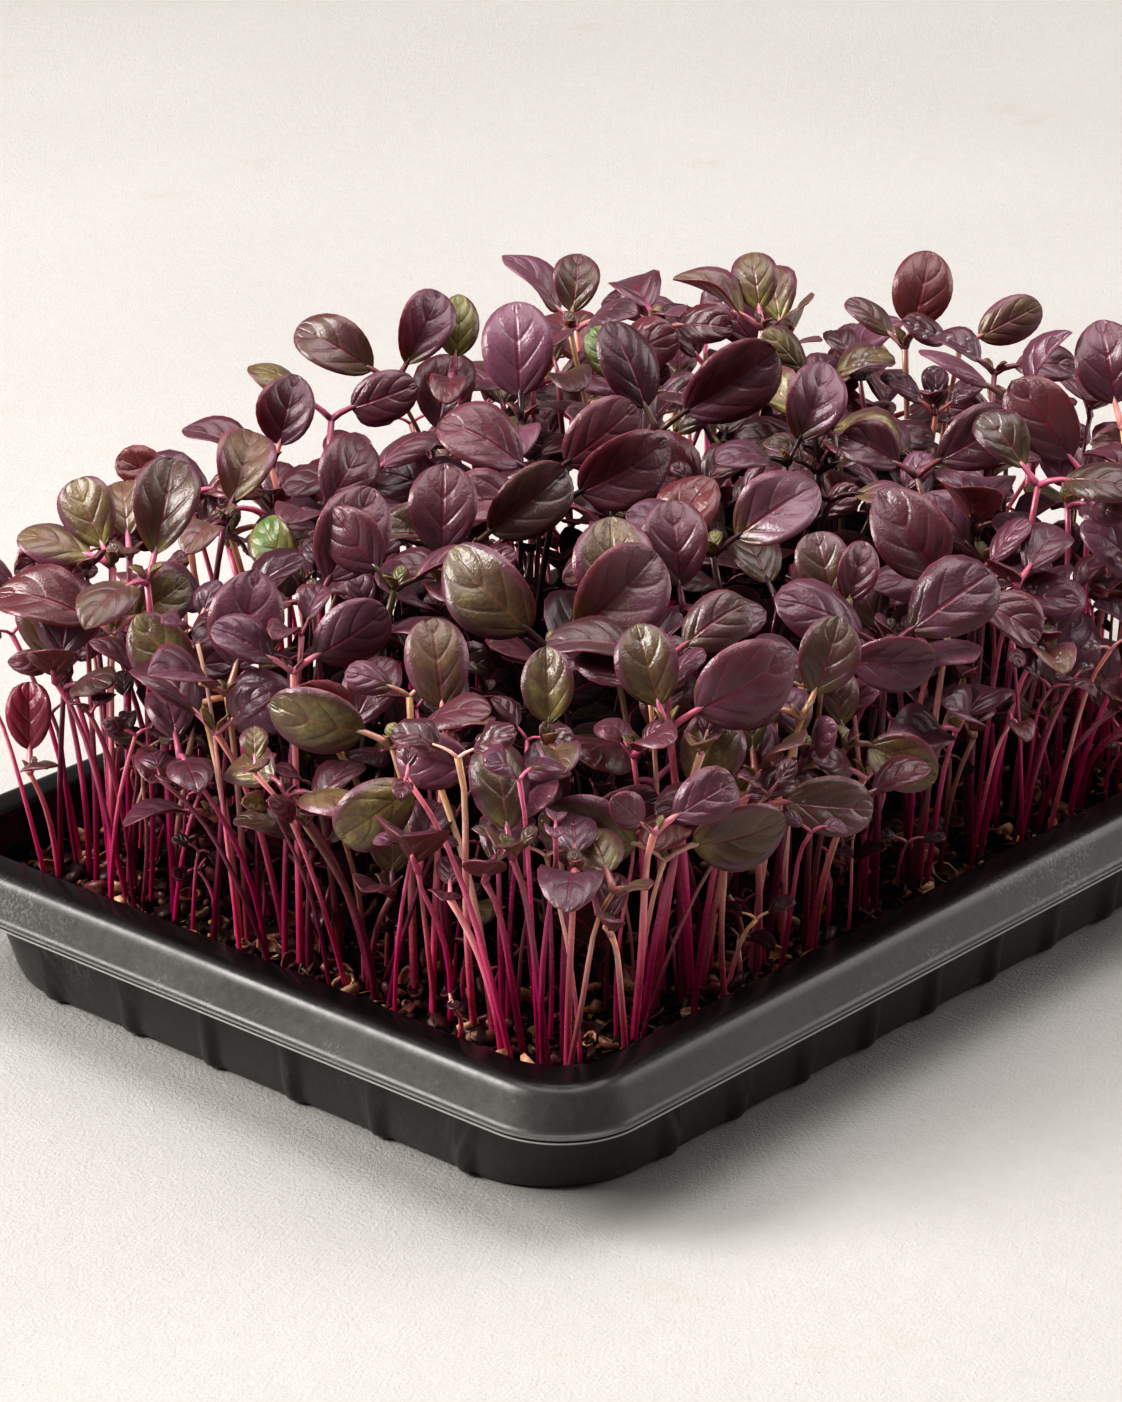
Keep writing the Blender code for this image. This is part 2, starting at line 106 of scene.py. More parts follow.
# Seedlings that show in the view: the crown, then one or two leaves as (heading, pitch, length, how far
# it faces the viewer). Where one leaf is listed, the leaf across from it is drawn at random.
LISTED = (
    ((-79, 48, 33), (90, 67, 10, 0.9)),
    ((-77, 46, 49), (113, 60, 13, 0.9)),
    ((-69, 31, 63), (71, 58, 15, 0.9)),
    ((-75, 34, 57), (16, 33, 10, 0.9), (172, 20, 14, 0.4)),
    ((-75, 11, 54), (64, 62, 14, 0.9)),
    ((-71, 20, 49), (152, 48, 12, 0.8), (338, 0, 12, 0.7)),
    ((-59, 11, 60), (42, 52, 15, 0.9)),
    ((-70, 3, 58), (4, 32, 12, 0.9)),
    ((-73, -3, 34), (170, 20, 9, 0.3)),
    ((-41, 2, 63), (86, 63, 13, 0.9)),
    ((-33, 4, 65), (17, 36, 14, 0.9)),
    ((-67, -23, 55), (104, 62, 12, 0.9)),
    ((-73, -18, 54), (174, 15, 14, 0.9)),
    ((-73, -27, 51), (207, -30, 12, 0.9)),
    ((-69, -33, 52), (177, 6, 11, 0.8)),
    ((-74, -19, 32), (90, 67, 9, 0.9)),
    ((-64, -39, 54), (88, 66, 11, 0.9)),
    ((-45, -23, 60), (159, 40, 16, 0.9), (21, 40, 15, 0.9)),
    ((-32, -25, 56), (97, 60, 15, 0.9)),
    ((-67, -45, 49), (8, 12, 12, 0.9), (128, 60, 11, 0.9)),
    ((-56, -53, 42), (173, 16, 14, 0.9), (6, 14, 13, 0.9)),
    ((-52, -49, 42), (60, 64, 12, 0.9)),
    ((-48, -49, 57), (120, 64, 12, 0.9), (13, 27, 16, 0.9)),
    ((-34, -51, 41), (358, -5, 12, 0.7), (101, 66, 10, 0.5)),
    ((-29, -53, 56), (42, 57, 12, 0.9), (180, 10, 10, 0.4)),
    ((-19, -50, 57), (2, 0, 12, 0.9)),
    ((-19, -52, 45), (350, -24, 11, 0.7), (103, 66, 9, 0.9)),
    ((-9, -45, 60), (115, 56, 10, 0.9), (55, 62, 9, 0.9)),
    ((10, -51, 59), (149, 51, 15, 0.7), (340, -30, 10, 0.3)),
    ((34, -51, 33), (60, 64, 13, 0.9), (175, 10, 8, 0.8)),
    ((-39, -38, 61), (178, 3, 13, 0.2), (18, 32, 11, 0.5)),
    ((-23, -28, 61), (103, 66, 12, 0.9)),
    ((-7, -20, 63), (14, 31, 14, 0.6)),
    ((-12, 6, 65), (11, 26, 15, 0.9)),
    ((-4, 15, 65), (18, 35, 14, 0.9), (168, 28, 14, 0.4)),
    ((20, 13, 67), (14, 31, 17, 0.9), (136, 58, 14, 0.3)),
    ((9, 31, 67), (96, 62, 15, 0.9)),
    ((24, -9, 66), (47, 60, 13, 0.9)),
    ((20, -20, 64), (355, -10, 12, 0.2)),
    ((36, -24, 65), (15, 31, 13, 0.8), (168, 26, 10, 0.5)),
    ((-46, 24, 58), (138, 43, 9, 0.9)),
    ((-37, 30, 64), (55, 40, 12, 0.9)),
    ((-50, 4, 65), (150, 40, 12, 0.9)),
    ((-44, 42, 63), (70, 45, 12, 0.9)),
    ((-62, 47, 60), (126, 50, 11, 0.9), (172, 14, 11, 0.3)),
    ((-24, 52, 64), (60, 63, 11, 0.6), (172, 18, 11, 0.2)),
    ((-8, 53, 67), (164, 34, 12, 0.1), (8, 18, 11, 0.8)),
    ((3, 52, 70), (167, 28, 13, 0.6), (42, 56, 12, 0.9)),
    ((10, 46, 71), (82, 58, 10, 0.9)),
    ((40, 47, 71), (157, 42, 13, 0.1)),
    ((33, 37, 72), (79, 56, 11, 0.9)),
    ((27, 22, 69), (155, 46, 10, 0.9)),
    ((57, 23, 72), (168, 24, 12, 0.1), (103, 56, 10, 0.9)),
    ((69, 4, 70), (60, 62, 12, 0.9), (150, 30, 9, 0.2)),
    ((74, -3, 70), (12, 25, 11, 0.7)),
    ((71, -12, 69), (0, -3, 10, 0.4)),
    ((70, -37, 66), (112, 64, 13, 0.9)),
    ((52, -44, 64), (152, 48, 14, 0.7)),
)


def bed_height(x, y):
    """Gentle lumps in the surface of the growing mix."""
    waves = math.sin(BED_WAVE_X[0] * x + BED_WAVE_X[1]) * math.sin(BED_WAVE_Y[0] * y + BED_WAVE_Y[1])
    waves += BED_SLANT_SHARE * math.sin(BED_SLANT_WAVE[0] * x + BED_SLANT_WAVE[1] * y)
    return BED_LEVEL + BED_RELIEF * waves / (1 + BED_SLANT_SHARE)


def heading_vector(heading, pitch):
    """A unit vector at a heading in the view's terms and a pitch above the level, both in degrees."""
    turn = math.radians(heading + VIEW_RIGHT)
    rise = math.radians(pitch)
    return Vector((math.cos(rise) * math.cos(turn), math.cos(rise) * math.sin(turn), math.sin(rise)))


TOWARDS_VIEWER = heading_vector(270, 0)


def canopy_height(x, y):
    """How high crowns may reach: the stand rises away from the near corner and rounds off at its sides."""
    depth = -(x * TOWARDS_VIEWER.x + y * TOWARDS_VIEWER.y)
    edge = max(abs(x) / CANOPY_EDGE[0], abs(y) / CANOPY_EDGE[1])
    return CANOPY_TOP + CANOPY_RISE * depth - CANOPY_DROOP * edge**4


def leaf(crown, heading, pitch, length, faces):
    """A leaf on its petiole: where it starts, its blade's two ends and the side that it shows."""
    along = heading_vector(heading, pitch)
    petiole = heading_vector(heading, 0.5 * pitch + 20) * (PETIOLE_SHARE * length + 1.0)
    start = crown + petiole
    facing = Vector((0, 0, 1)) * (1 - faces) + TOWARDS_VIEWER * faces
    normal = facing - along * facing.dot(along)
    return {"crown": crown, "start": start, "tip": start + along * length, "normal": normal.normalized()}


def seedling(foot, turn, depth, crown, leaves):
    """A stem that leaves its hole upright and bends to its crown, with its leaves."""
    side = Vector((math.cos(turn), math.sin(turn), 0)) * PAIR_STEP
    root = Vector((foot[0], foot[1], BED_LEVEL - depth)) + side
    neck = Vector((root.x, root.y, BED_LEVEL + NECK_HEIGHT))
    middle = neck.lerp(crown, 0.5)
    middle.z += STEM_ARCH * (crown - neck).length
    middle.x -= STEM_LAG * (crown.x - neck.x)
    middle.y -= STEM_LAG * (crown.y - neck.y)
    blades = [leaf(crown, *values) for values in leaves]
    pairs = list(zip(blades[0::2], blades[1::2]))
    return {"stem": (root, neck, middle, crown), "turn": turn, "pairs": pairs}


def stem_rings(plant, margin):
    """The stem's three-sided sections, let out by a margin."""
    turns = [plant["turn"] + math.pi + math.tau * side / STEM_SIDES for side in range(STEM_SIDES)]
    rings = []
    for point, own_radius in zip(plant["stem"], STEM_RADII):
        radius = own_radius + margin
        spokes = [Vector((radius * math.cos(turn), radius * math.sin(turn), 0.0)) for turn in turns]
        rings.append([point + spoke for spoke in spokes])
    return rings


def blade_sections(blade):
    """Points along the arched blade from its petiole to its tip, with half the width at each."""
    along = blade["tip"] - blade["start"]
    length = along.length
    stations = BLADE_STATIONS if length > SMALL_BLADE_LENGTH else SMALL_BLADE_STATIONS
    sections = []
    for share, width in stations:
        lift = BLADE_ARCH * length * 4 * share * (1 - share)
        point = blade["start"] + along * share + blade["normal"] * lift
        sections.append((point, width * 0.5 * BLADE_WIDTH_SHARE * length))
    return sections, along.normalized().cross(blade["normal"])


def pair_rings(pair, margin):
    """A pair of leaves as one strip: from one tip through the crown and out to the other tip."""
    first, first_across = blade_sections(pair[0])
    second, second_across = blade_sections(pair[1])
    middle = (second_across - first_across).normalized()
    sections = [(point, half, -first_across, BLADE_THICKNESS) for point, half in reversed(first)]
    sections.append((pair[0]["crown"], CROWN_HALF_WIDTH, middle, CROWN_THICKNESS))
    sections += [(point, half, second_across, BLADE_THICKNESS) for point, half in second]
    rings = []
    for index, (point, half, across, thickness) in enumerate(sections):
        before = sections[max(index - 1, 0)][0]
        after = sections[min(index + 1, len(sections) - 1)][0]
        tangent = (after - before).normalized()
        if index == 0:
            point = point - tangent * margin
        if index == len(sections) - 1:
            point = point + tangent * margin
        side = (across - tangent * across.dot(tangent)).normalized() * (half + margin)
        thick = side.cross(tangent).normalized() * (0.5 * thickness + margin)
        rings.append([point - side - thick, point + side - thick, point + side + thick, point - side + thick])
    return rings


def tree_of(solids):
    """A search tree over the faces of some lofted solids."""
    points = []
    faces = []
    for rings in solids:
        sides = len(rings[0])
        base = len(points)
        for ring in rings:
            points.extend(ring)
        for level in range(len(rings) - 1):
            for side in range(sides):
                a = base + level * sides + side
                b = base + level * sides + (side + 1) % sides
                faces.append((a, b, b + sides))
                faces.append((a, b + sides, a + sides))
    return BVHTree.FromPolygons(points, faces, all_triangles=True)


def inside_bounds(plant):
    """Whether the leaves stay off the bed and everything low stays inside the rim."""
    blade_points = [point for pair in plant["pairs"] for ring in pair_rings(pair, 0.0) for point in ring]
    stem_points = [point for ring in stem_rings(plant, 0.0) for point in ring]
    for point in blade_points + stem_points:
        beyond_x = max(abs(point.x) - INNER_CORNER[0], 0)
        beyond_y = max(abs(point.y) - INNER_CORNER[1], 0)
        if point.z < RIM_CLEAR_HEIGHT and math.hypot(beyond_x, beyond_y) > INNER_RADIUS:
            return False
        if abs(point.x) > REACH[0] or abs(point.y) > REACH[1]:
            return False
    return min(point.z for point in blade_points) > LOWEST_LEAF


def fits(plant, placed, clump, stem_margin=CLEARANCE, blade_margin=CLEARANCE):
    """Whether a seedling stays in bounds and clear of the others, but for the stems of its own clump."""
    if not inside_bounds(plant):
        return False
    stem = tree_of([stem_rings(plant, stem_margin)])
    blades = tree_of([pair_rings(pair, blade_margin) for pair in plant["pairs"]])
    crown = plant["stem"][-1]
    for other in placed:
        beside = other["stem"][-1] - crown
        if math.hypot(beside.x, beside.y) > NEIGHBOUR_REACH:
            continue
        if blades.overlap(other["blade_tree"]) or blades.overlap(other["stem_tree"]):
            return False
        if stem.overlap(other["blade_tree"]):
            return False
        if other["clump"] != clump and stem.overlap(other["stem_tree"]):
            return False
    return True


def place(plant, placed, clump):
    """Adds a seedling to those that the next ones have to stay clear of."""
    plant["clump"] = clump
    plant["stem_tree"] = tree_of([stem_rings(plant, 0.0)])
    plant["blade_tree"] = tree_of([pair_rings(pair, 0.0) for pair in plant["pairs"]])
    placed.append(plant)


def random_foot(rng):
    """A place anywhere in the area that the feet take up."""
    x = rng.uniform(-FOOT_HALF_X, FOOT_HALF_X)
    y = rng.uniform(-FOOT_HALF_Y, FOOT_HALF_Y)
    return x, y


def random_growth(rng, foot, attempt):
    """A crown over the foot and a pair of opposite leaves, with a small pair above in some."""
    x, y = foot
    outward = Vector((x / FOOT_HALF_X, y / FOOT_HALF_Y, 0))
    lean = Vector((rng.uniform(-7, 7) + 5 * outward.x**3, rng.uniform(-7, 7) + 5 * outward.y**3, 0))
    crown = Vector((x, y, 0)) + lean
    drop = rng.uniform(3, 14 + 0.14 * attempt)
    crown.z = canopy_height(crown.x, crown.y) - drop
    heading = rng.uniform(0, 360)
    size = rng.uniform(12, 15.5) * (1 - 0.0022 * attempt)
    leaves = []
    for turn in (0, 180):
        pitch = rng.uniform(-5, 55)
        across = heading + turn + rng.uniform(-18, 18)
        leaves.append((across, pitch, size * rng.uniform(0.9, 1.05), rng.uniform(0, 0.6)))
    if rng.random() < SMALL_PAIR_CHANCE:
        small = rng.uniform(5, 7.5)
        for turn in (90, 270):
            leaves.append((heading + turn + rng.uniform(-15, 15), rng.uniform(35, 65), small, 0.2))
    return crown, leaves


def listed_growth(rng, given, attempt):
    """A seedling as listed, let go further from its place the more often it has failed to fit."""
    slack = 0.04 * attempt
    crown = Vector(given[0]) + Vector([rng.uniform(-slack, slack) for _ in range(3)])
    leaves = []
    for heading, pitch, length, faces in given[1:]:
        heading += rng.uniform(-3, 3) * slack
        pitch += rng.uniform(-3, 3) * slack
        leaves.append((heading, pitch, length * (1 - 0.02 * slack), faces))
    if len(leaves) == 1:
        heading, _, length, _ = leaves[0]
        across = heading + 180 + rng.uniform(-25, 25)
        leaves.append((across, rng.uniform(-10, 30), length * rng.uniform(0.7, 0.9), rng.uniform(0, 0.5)))
    return crown, leaves


def clump_sites(rng):
    """Feet on a loose grid over the bed, kept off the listed ones and off each other."""
    sites = list(NEAR_FEET)
    for _ in range(4000):
        if len(sites) == CLUMPS:
            break
        x, y = random_foot(rng)
        if min(math.hypot(x - sx, y - sy) for sx, sy in sites) > SITE_GAP:
            sites.append((x, y))
    return sites


def shared_out(sites):
    """The listed seedlings by clump: each goes to the nearest foot that still has room."""
    members = [[] for _ in sites]
    for given in LISTED:
        x, y, _ = given[0]
        free = [clump for clump in range(len(sites)) if len(members[clump]) < len(FOOT_DEPTHS)]
        nearest = min(free, key=lambda clump: math.hypot(sites[clump][0] - x, sites[clump][1] - y))
        members[nearest].append(given)
    return members


def plan_growth():
    """All seedlings, two to a clump where they fit, none touching one of another clump."""
    rng = random.Random(SEED)
    sites = clump_sites(rng)
    members = shared_out(sites)
    first_turns = [rng.uniform(0, math.tau) for _ in sites]
    placed = []
    for from_list in (True, False):
        for clump, foot in enumerate(sites):
            for index, depth in enumerate(FOOT_DEPTHS):
                is_listed = index < len(members[clump])
                if is_listed != from_list:
                    continue
                turn = first_turns[clump] + index * PAIR_TURN
                for attempt in range(TRIES):
                    if is_listed:
                        crown, leaves = listed_growth(rng, members[clump][index], attempt)
                    else:
                        crown, leaves = random_growth(rng, foot, attempt)
                    plant = seedling(foot, turn, depth, crown, leaves)
                    if fits(plant, placed, clump):
                        place(plant, placed, clump)
                        break
    return sites, placed


# Seedlings that stand between those of the plan
EXTRA_SEED = 21
# The far end of the long near wall, where the floor behind shows through a thin stand: from x and up to y
FAR_END = (34.0, -18.0)
EXTRA_TRIES = 16
# For the stem and for the leaves: below zero, so that the filling seedlings may touch
EXTRA_CLEARANCES = (-0.35, -0.3)
EXTRA_FOOT_DEPTH = 3.0
NO_CLUMP = -1
# The band along the walls in which the edge seedlings stand, and the wider one where the bed shows
EDGE_BAND = 11.0
EDGE_BEYOND_FEET = 3.0
BARE_BAND = 13.0
NEAR_WALL_SHARE = 0.68
LONG_WALL_SHARE = 0.58
YOUNG_TIP_SHARE = 0.7
# How many pieces the filling seedlings are shared out over
GROUPS = 8

# Fine shapes: (columns, rows) of a leaf's grid or of a tube's skin
LISTED_LEAF_GRID = (8, 13)
LEAF_GRID = (4, 8)
YOUNG_LEAF_GRID = (2, 4)
STEM_GRID = (7, 8)
PETIOLE_GRID = (5, 3)
LEAF_SKIN = 0.32
NARROWEST = 0.07
VEIN_PAIRS = 3.3
VEIN_SWEEP = 0.5
TOWARDS_CROWN = 0.12
# Of a full leaf and of a small one
PETIOLE_RADII = (0.5, 0.34)
LISTED_LEAF_SIZES = (0.92, 0.99)
LEAF_SIZES = (0.8, 0.96)
# How leaves differ, each drawn for each leaf: their folds at the midrib as shares of the half width, and
# how cupped, puffed, quilted, wavy and drooping they are, as shares of the length
FOLDS = (-0.1, 0.0, 0.06, 0.14, 0.24, 0.36)
CUPS = (-0.08, -0.04, 0.02, 0.06, 0.1, 0.14)
PUFFS = (0.02, 0.05)
QUILTS = (0.001, 0.005)
WAVES = (0.004, 0.022)
DROOPS = (-0.05, 0.17)
WIDTHS = (0.85, 1.05)
TWISTS = (-0.3, 0.3)

# How the leaves are coloured, along one scale: (name, place on the scale, colour)
LEAF_TONES = (
    ("crimson", 0.0, (0.22, 0.022, 0.052)),
    ("rusty", 0.14, (0.125, 0.032, 0.032)),
    ("plum", 0.3, (0.092, 0.030, 0.044)),
    ("lilac", 0.42, (0.135, 0.056, 0.088)),
    ("brown", 0.54, (0.096, 0.050, 0.038)),
    ("olive", 0.7, (0.130, 0.090, 0.050)),
    ("lime", 0.86, (0.235, 0.205, 0.075)),
    ("green", 1.0, (0.105, 0.170, 0.042)),
)
TONES = {name: place for name, place, _ in LEAF_TONES}
# (how often, lowest tone, highest tone) of the leaves that no list names
TONE_MIX = (
    (0.59, 0.24, 0.36),
    (0.16, 0.36, 0.46),
    (0.11, 0.5, 0.6),
    (0.07, 0.62, 0.74),
    (0.07, 0.1, 0.2),
)
# Crowns whose first leaf has a tone of its own. Where a crown is near two of them, the last one counts.
TONED_CROWNS = {
    "crimson": ((-79, 48, 33),),
    "rusty": ((69, 4, 70),),
    "lilac": ((-70, 3, 58), (34, -51, 33)),
    "green": ((-46, 24, 58), (27, 22, 69)),
    "lime": ((10, 46, 71),),
    "olive": (
        (-75, 34, 57), (-71, 20, 49), (-73, -18, 54), (-73, -27, 51), (-74, -19, 32), (-64, -39, 54),
        (-45, -23, 60), (-48, -49, 57), (-52, -49, 42), (-19, -52, 45), (-8, 53, 67),
    ),
    "brown": ((-34, -51, 41), (-9, -45, 60), (57, 23, 72), (33, 37, 72), (3, 52, 70), (74, -3, 70)),
}
TONED_REACH = 5.0
TONED_LIGHT = 1.1
# The places of the looks on a piece of growth
LEAF_INDEX, STEM_INDEX, SHADED_INDEX = range(3)
# A leaf whose painted light is below this gets the shaded copy of the leaf look, with weak reflections:
# painted shade
SHADED_LIGHT = 0.4
# Where water drops lie on the leaves
DEWY_PLACES = ((66.0, -2.0, 68.0), (27.0, -58.0, 55.0), (36.0, -60.0, 48.0))
DEWY_REACH = 9.0
DROPS_ON_A_LEAF = 7
DROP_SIZES = (0.2, 0.46)
DROP_TINT = (0.0, 1.0, 0.0, 0.0)
DROP_SEED = 205
LOOKS_SEED = 105
# How far a stem bows aside: one that the list names and any other
STEM_BOW = (1.2, 5.0)
# Painted light on the stems: how much each stem's colour is brightened, from those left dark to the few
# painted as catching the light
PAINTED_STEM_LIGHTS = (0.45, 0.75, 1.05, 1.3, 1.5, 1.7)
# Painted shade: how much the colour of leaves and stems deep in the stand is darkened, between which depths
# below the top and which distances from the wall the painted shade deepens
LEAF_SHADE = 0.93
LEAF_SHADE_DEPTHS = (3.0, 17.0)
LEAF_SHADE_DISTANCES = (1.0, 13.0)
STEM_SHADE = 0.88
STEM_SHADE_DISTANCES = (5.0, 22.0)
# The draws for a seedling's looks: how pale and how thick its stem is and how light its leaves are
PALENESS = (0.0, 0.1, 0.2, 0.3, 0.5, 0.7, 0.95)
THICKNESSES = (0.4, 0.62)
LEAF_LIGHTS = (0.76, 1.42)

# The camera, as measured from the tray in the photograph
IMAGE_WIDTH = 1122
IMAGE_HEIGHT = 1402
FOCAL_PIXELS = 5000
SENSOR_MM = 36.0
CAMERA_PLACE = Vector((-526.6, -447.5, 318.9)) * MM
CAMERA_TARGET = Vector((51.8, 60.7, 0.0)) * MM


def smooth(low, high, value):
    """An even rise from 0 at low to 1 at high."""
    share = min(max((value - low) / (high - low), 0.0), 1.0)
    return share * share * (3 - 2 * share)


def finished(bm, name, looks):
    """A smooth-shaded piece in metres, at the origin, of a bmesh in millimetres."""
    bmesh.ops.scale(bm, vec=(MM, MM, MM), verts=bm.verts)
    mesh = bpy.data.meshes.new(name)
    bm.to_mesh(mesh)
    bm.free()
    for look in looks:
        mesh.materials.append(look)
    mesh.shade_smooth()
    piece = bpy.data.objects.new(name, mesh)
    bpy.context.scene.collection.objects.link(piece)
    return piece


# Shapes that the seedlings are made of


def leaf_template(columns, rows):
    """A flat leaf in its own terms: across from -1 to 1, along from 0 to 1, and 0 or -1 for its two skins."""
    bm = bmesh.new()
    bmesh.ops.create_grid(bm, x_segments=columns, y_segments=rows, size=1)
    bmesh.ops.solidify(bm, geom=bm.faces[:], thickness=1.0)
    for vert in bm.verts:
        along = (vert.co.y + 1) / 2
        vert.co.y = (1 - math.cos(math.pi * along)) / 2
        vert.co.z = round(vert.co.z)
    return template_data(bm)


def extrude_ring(bm, edges):
    """Extrudes a ring of edges and gives the points and the edges of the new ring."""
    swept = bmesh.ops.extrude_edge_only(bm, edges=edges)["geom"]
    verts = {part for part in swept if isinstance(part, bmesh.types.BMVert)}
    ring = [part for part in swept if isinstance(part, bmesh.types.BMEdge)]
    return verts, [edge for edge in ring if edge.verts[0] in verts and edge.verts[1] in verts]


def tube_template(columns, rows):
    """A closed tube in its own terms: a unit circle swept from 0 to 1."""
    bm = bmesh.new()
    bmesh.ops.create_circle(bm, segments=columns, radius=1.0)
    ring = bm.edges[:]
    for _ in range(rows):
        verts, ring = extrude_ring(bm, ring)
        bmesh.ops.translate(bm, vec=(0, 0, 1 / rows), verts=list(verts))
    bmesh.ops.holes_fill(bm, edges=bm.edges[:], sides=columns)
    bmesh.ops.recalc_face_normals(bm, faces=bm.faces)
    return template_data(bm)


def ball_template(detail, bumps=0.0):
    """A round grain, or with bumps a crumb."""
    bm = bmesh.new()
    bmesh.ops.create_icosphere(bm, subdivisions=detail, radius=1.0)
    for vert in bm.verts:
        vert.co *= 1 + bumps * noise.noise(vert.co * 2.3)
    return template_data(bm)


def template_data(bm):
    """A shape to stamp: its mesh and the places of its points in its own terms."""
    mesh = bpy.data.meshes.new("template")
    bm.to_mesh(mesh)
    places = [vert.co.copy() for vert in bm.verts]
    bm.free()
    return {"mesh": mesh, "places": places}


def stamp(bm, template, place_of, tint_of, uv_of, material_index):
    """Adds a copy of a template, with each point put where place_of says."""
    first = len(bm.verts)
    first_face = len(bm.faces)
    bm.from_mesh(template["mesh"])
    bm.verts.ensure_lookup_table()
    bm.faces.ensure_lookup_table()
    uv_layer = bm.loops.layers.uv.verify()
    tint_layer = bm.verts.layers.float_color["tint"]
    own_places = {}
    for index, own in enumerate(template["places"]):
        vert = bm.verts[first + index]
        vert.co = place_of(own)
        vert[tint_layer] = tint_of(own)
        own_places[vert] = own
    for face in bm.faces[first_face:]:
        face.material_index = material_index
        for loop in face.loops:
            loop[uv_layer].uv = uv_of(own_places[loop.vert])


def no_uv(own):
    """For shapes whose look needs no UV map."""
    return (0.0, 0.0)


def leaf_half_width(along, wedge, taper):
    """The outline as a share of the greatest half width: a wedge at the foot, a taper at the tip."""
    widest = wedge / (wedge + taper)
    greatest = widest**wedge * (1 - widest) ** taper
    return max(along**wedge * (1 - along) ** taper / greatest, NARROWEST)


def stamp_leaf(bm, template, blade, rng, tone, light, crumple=0.0, sizes=(1.0, 1.0)):
    """A fine leaf on the same line as the plan's: its halves swell on either side of the midrib."""
    start = blade["start"].lerp(blade["crown"], TOWARDS_CROWN)
    size = rng.uniform(*sizes)
    along = (blade["tip"] - start) * size
    length = along.length
    across = along.normalized().cross(blade["normal"])
    planned = (blade["tip"] - blade["start"]).length * size
    half = 0.5 * BLADE_WIDTH_SHARE * planned * rng.uniform(*WIDTHS)
    fold = rng.choice(FOLDS) * half
    cup = rng.choice(CUPS) * length
    puff = rng.uniform(*PUFFS) * length
    quilt = rng.uniform(*QUILTS) * length
    wave = rng.uniform(*WAVES) * length
    phase = rng.uniform(0, math.tau)
    twist = rng.uniform(*TWISTS)
    droop = rng.uniform(*DROOPS) * length
    chance = rng.random()
    seed = rng.uniform(0, 50)
    wedge = 0.5 + 0.16 * chance
    taper = 0.43 + 0.2 * (phase / math.tau) ** 2

    def place_of(own):
        side, share, skin = own
        out = abs(side)
        outline = leaf_half_width(share, wedge, taper)
        width = outline * half
        body = math.sin(math.pi * share)
        lift = BLADE_ARCH * length * 4 * share * (1 - share) - droop * share**3
        lift += cup * side * side * math.sin(math.pi * min(share * 1.1, 1))
        lift += fold * out * outline
        lift += puff * math.sin(math.pi * out**0.7) * body
        rows = (share - VEIN_SWEEP * out) * VEIN_PAIRS + chance
        lift += quilt * abs(math.sin(math.pi * rows)) * math.sin(math.pi * out) * body
        lift += wave * side * side * math.sin(9 * share + phase + side)
        if crumple:
            spot = Vector((2.2 * side, 3.4 * share, seed))
            lift += crumple * length * noise.noise(spot)
        turn = twist * share
        offset = across * (side * width * math.cos(turn)) + blade["normal"] * (side * width * math.sin(turn))
        edge = 0.5 + 0.5 * (1 - side * side)
        return start + along * share + offset + blade["normal"] * (lift + LEAF_SKIN * skin * edge)

    def tint_of(own):
        return (tone, light, 1.0 if own.z < -0.5 else 0.0, chance)

    def uv_of(own):
        return ((own.x + 1) / 2, own.y)

    # Dim leaves take the shaded copy of the leaf look: painted shade
    stamp(bm, template, place_of, tint_of, uv_of, SHADED_INDEX if light < SHADED_LIGHT else LEAF_INDEX)
    return place_of


def bezier(points, share):
    """A point on the smooth curve through a chain of control points."""
    points = list(points)
    while len(points) > 1:
        points = [a.lerp(b, share) for a, b in zip(points, points[1:])]
    return points[0]


def stamp_tube(bm, template, points, radius_of, tint_of):
    """A stem or petiole: a tube along a smooth curve."""
    reach = 0.02
    aside = Vector((0.31, 0.95, 0.05))

    def place_of(own):
        share = own.z
        point = bezier(points, share)
        ahead = bezier(points, min(share + reach, 1.0))
        behind = bezier(points, max(share - reach, 0.0))
        tangent = (ahead - behind).normalized()
        side = tangent.cross(aside).normalized()
        up = side.cross(tangent)
        return point + (side * own.x + up * own.y) * radius_of(share)

    def uv_of(own):
        return (math.atan2(own.y, own.x) / math.tau + 0.5, own.z)

    stamp(bm, template, place_of, lambda own: tint_of(own.z), uv_of, STEM_INDEX)


def stem_line(plant):
    """The stem's control points: the plan's stem, kept where the plan's straight pieces run."""
    root, neck, middle, crown = plant["stem"]
    bow = Vector((noise.noise(root * 0.9), noise.noise(root * 0.9 + Vector((7.0, 3.0, 5.0))), 0))
    bow *= STEM_BOW[0] if plant["listed"] else STEM_BOW[1]
    return (root, neck, neck.lerp(middle, 0.9) + bow, middle.lerp(crown, 0.35) - bow * 0.6, crown)


def from_wall(x, y):
    """How far a place is from the nearest edge of the area that the feet take up."""
    return min(FOOT_HALF_X - abs(x), FOOT_HALF_Y - abs(y))


def shade_at(place):
    """Painted shade: the factor that darkens the colour of a leaf deep in the stand."""
    below = canopy_height(place.x, place.y) - place.z
    inside = smooth(*LEAF_SHADE_DISTANCES, from_wall(place.x, place.y))
    return 1 - LEAF_SHADE * smooth(*LEAF_SHADE_DEPTHS, below) * inside


def petiole_line(blade):
    """From the crown out and up into the foot of the leaf."""
    along = blade["tip"] - blade["start"]
    reach = (blade["start"] - blade["crown"]).length
    knee = blade["start"] - along.normalized() * 0.3 * reach
    rise = blade["crown"].lerp(knee, 0.6) + Vector((0, 0, 0.3))
    return (blade["crown"], rise, knee, blade["start"] + along * 0.12)


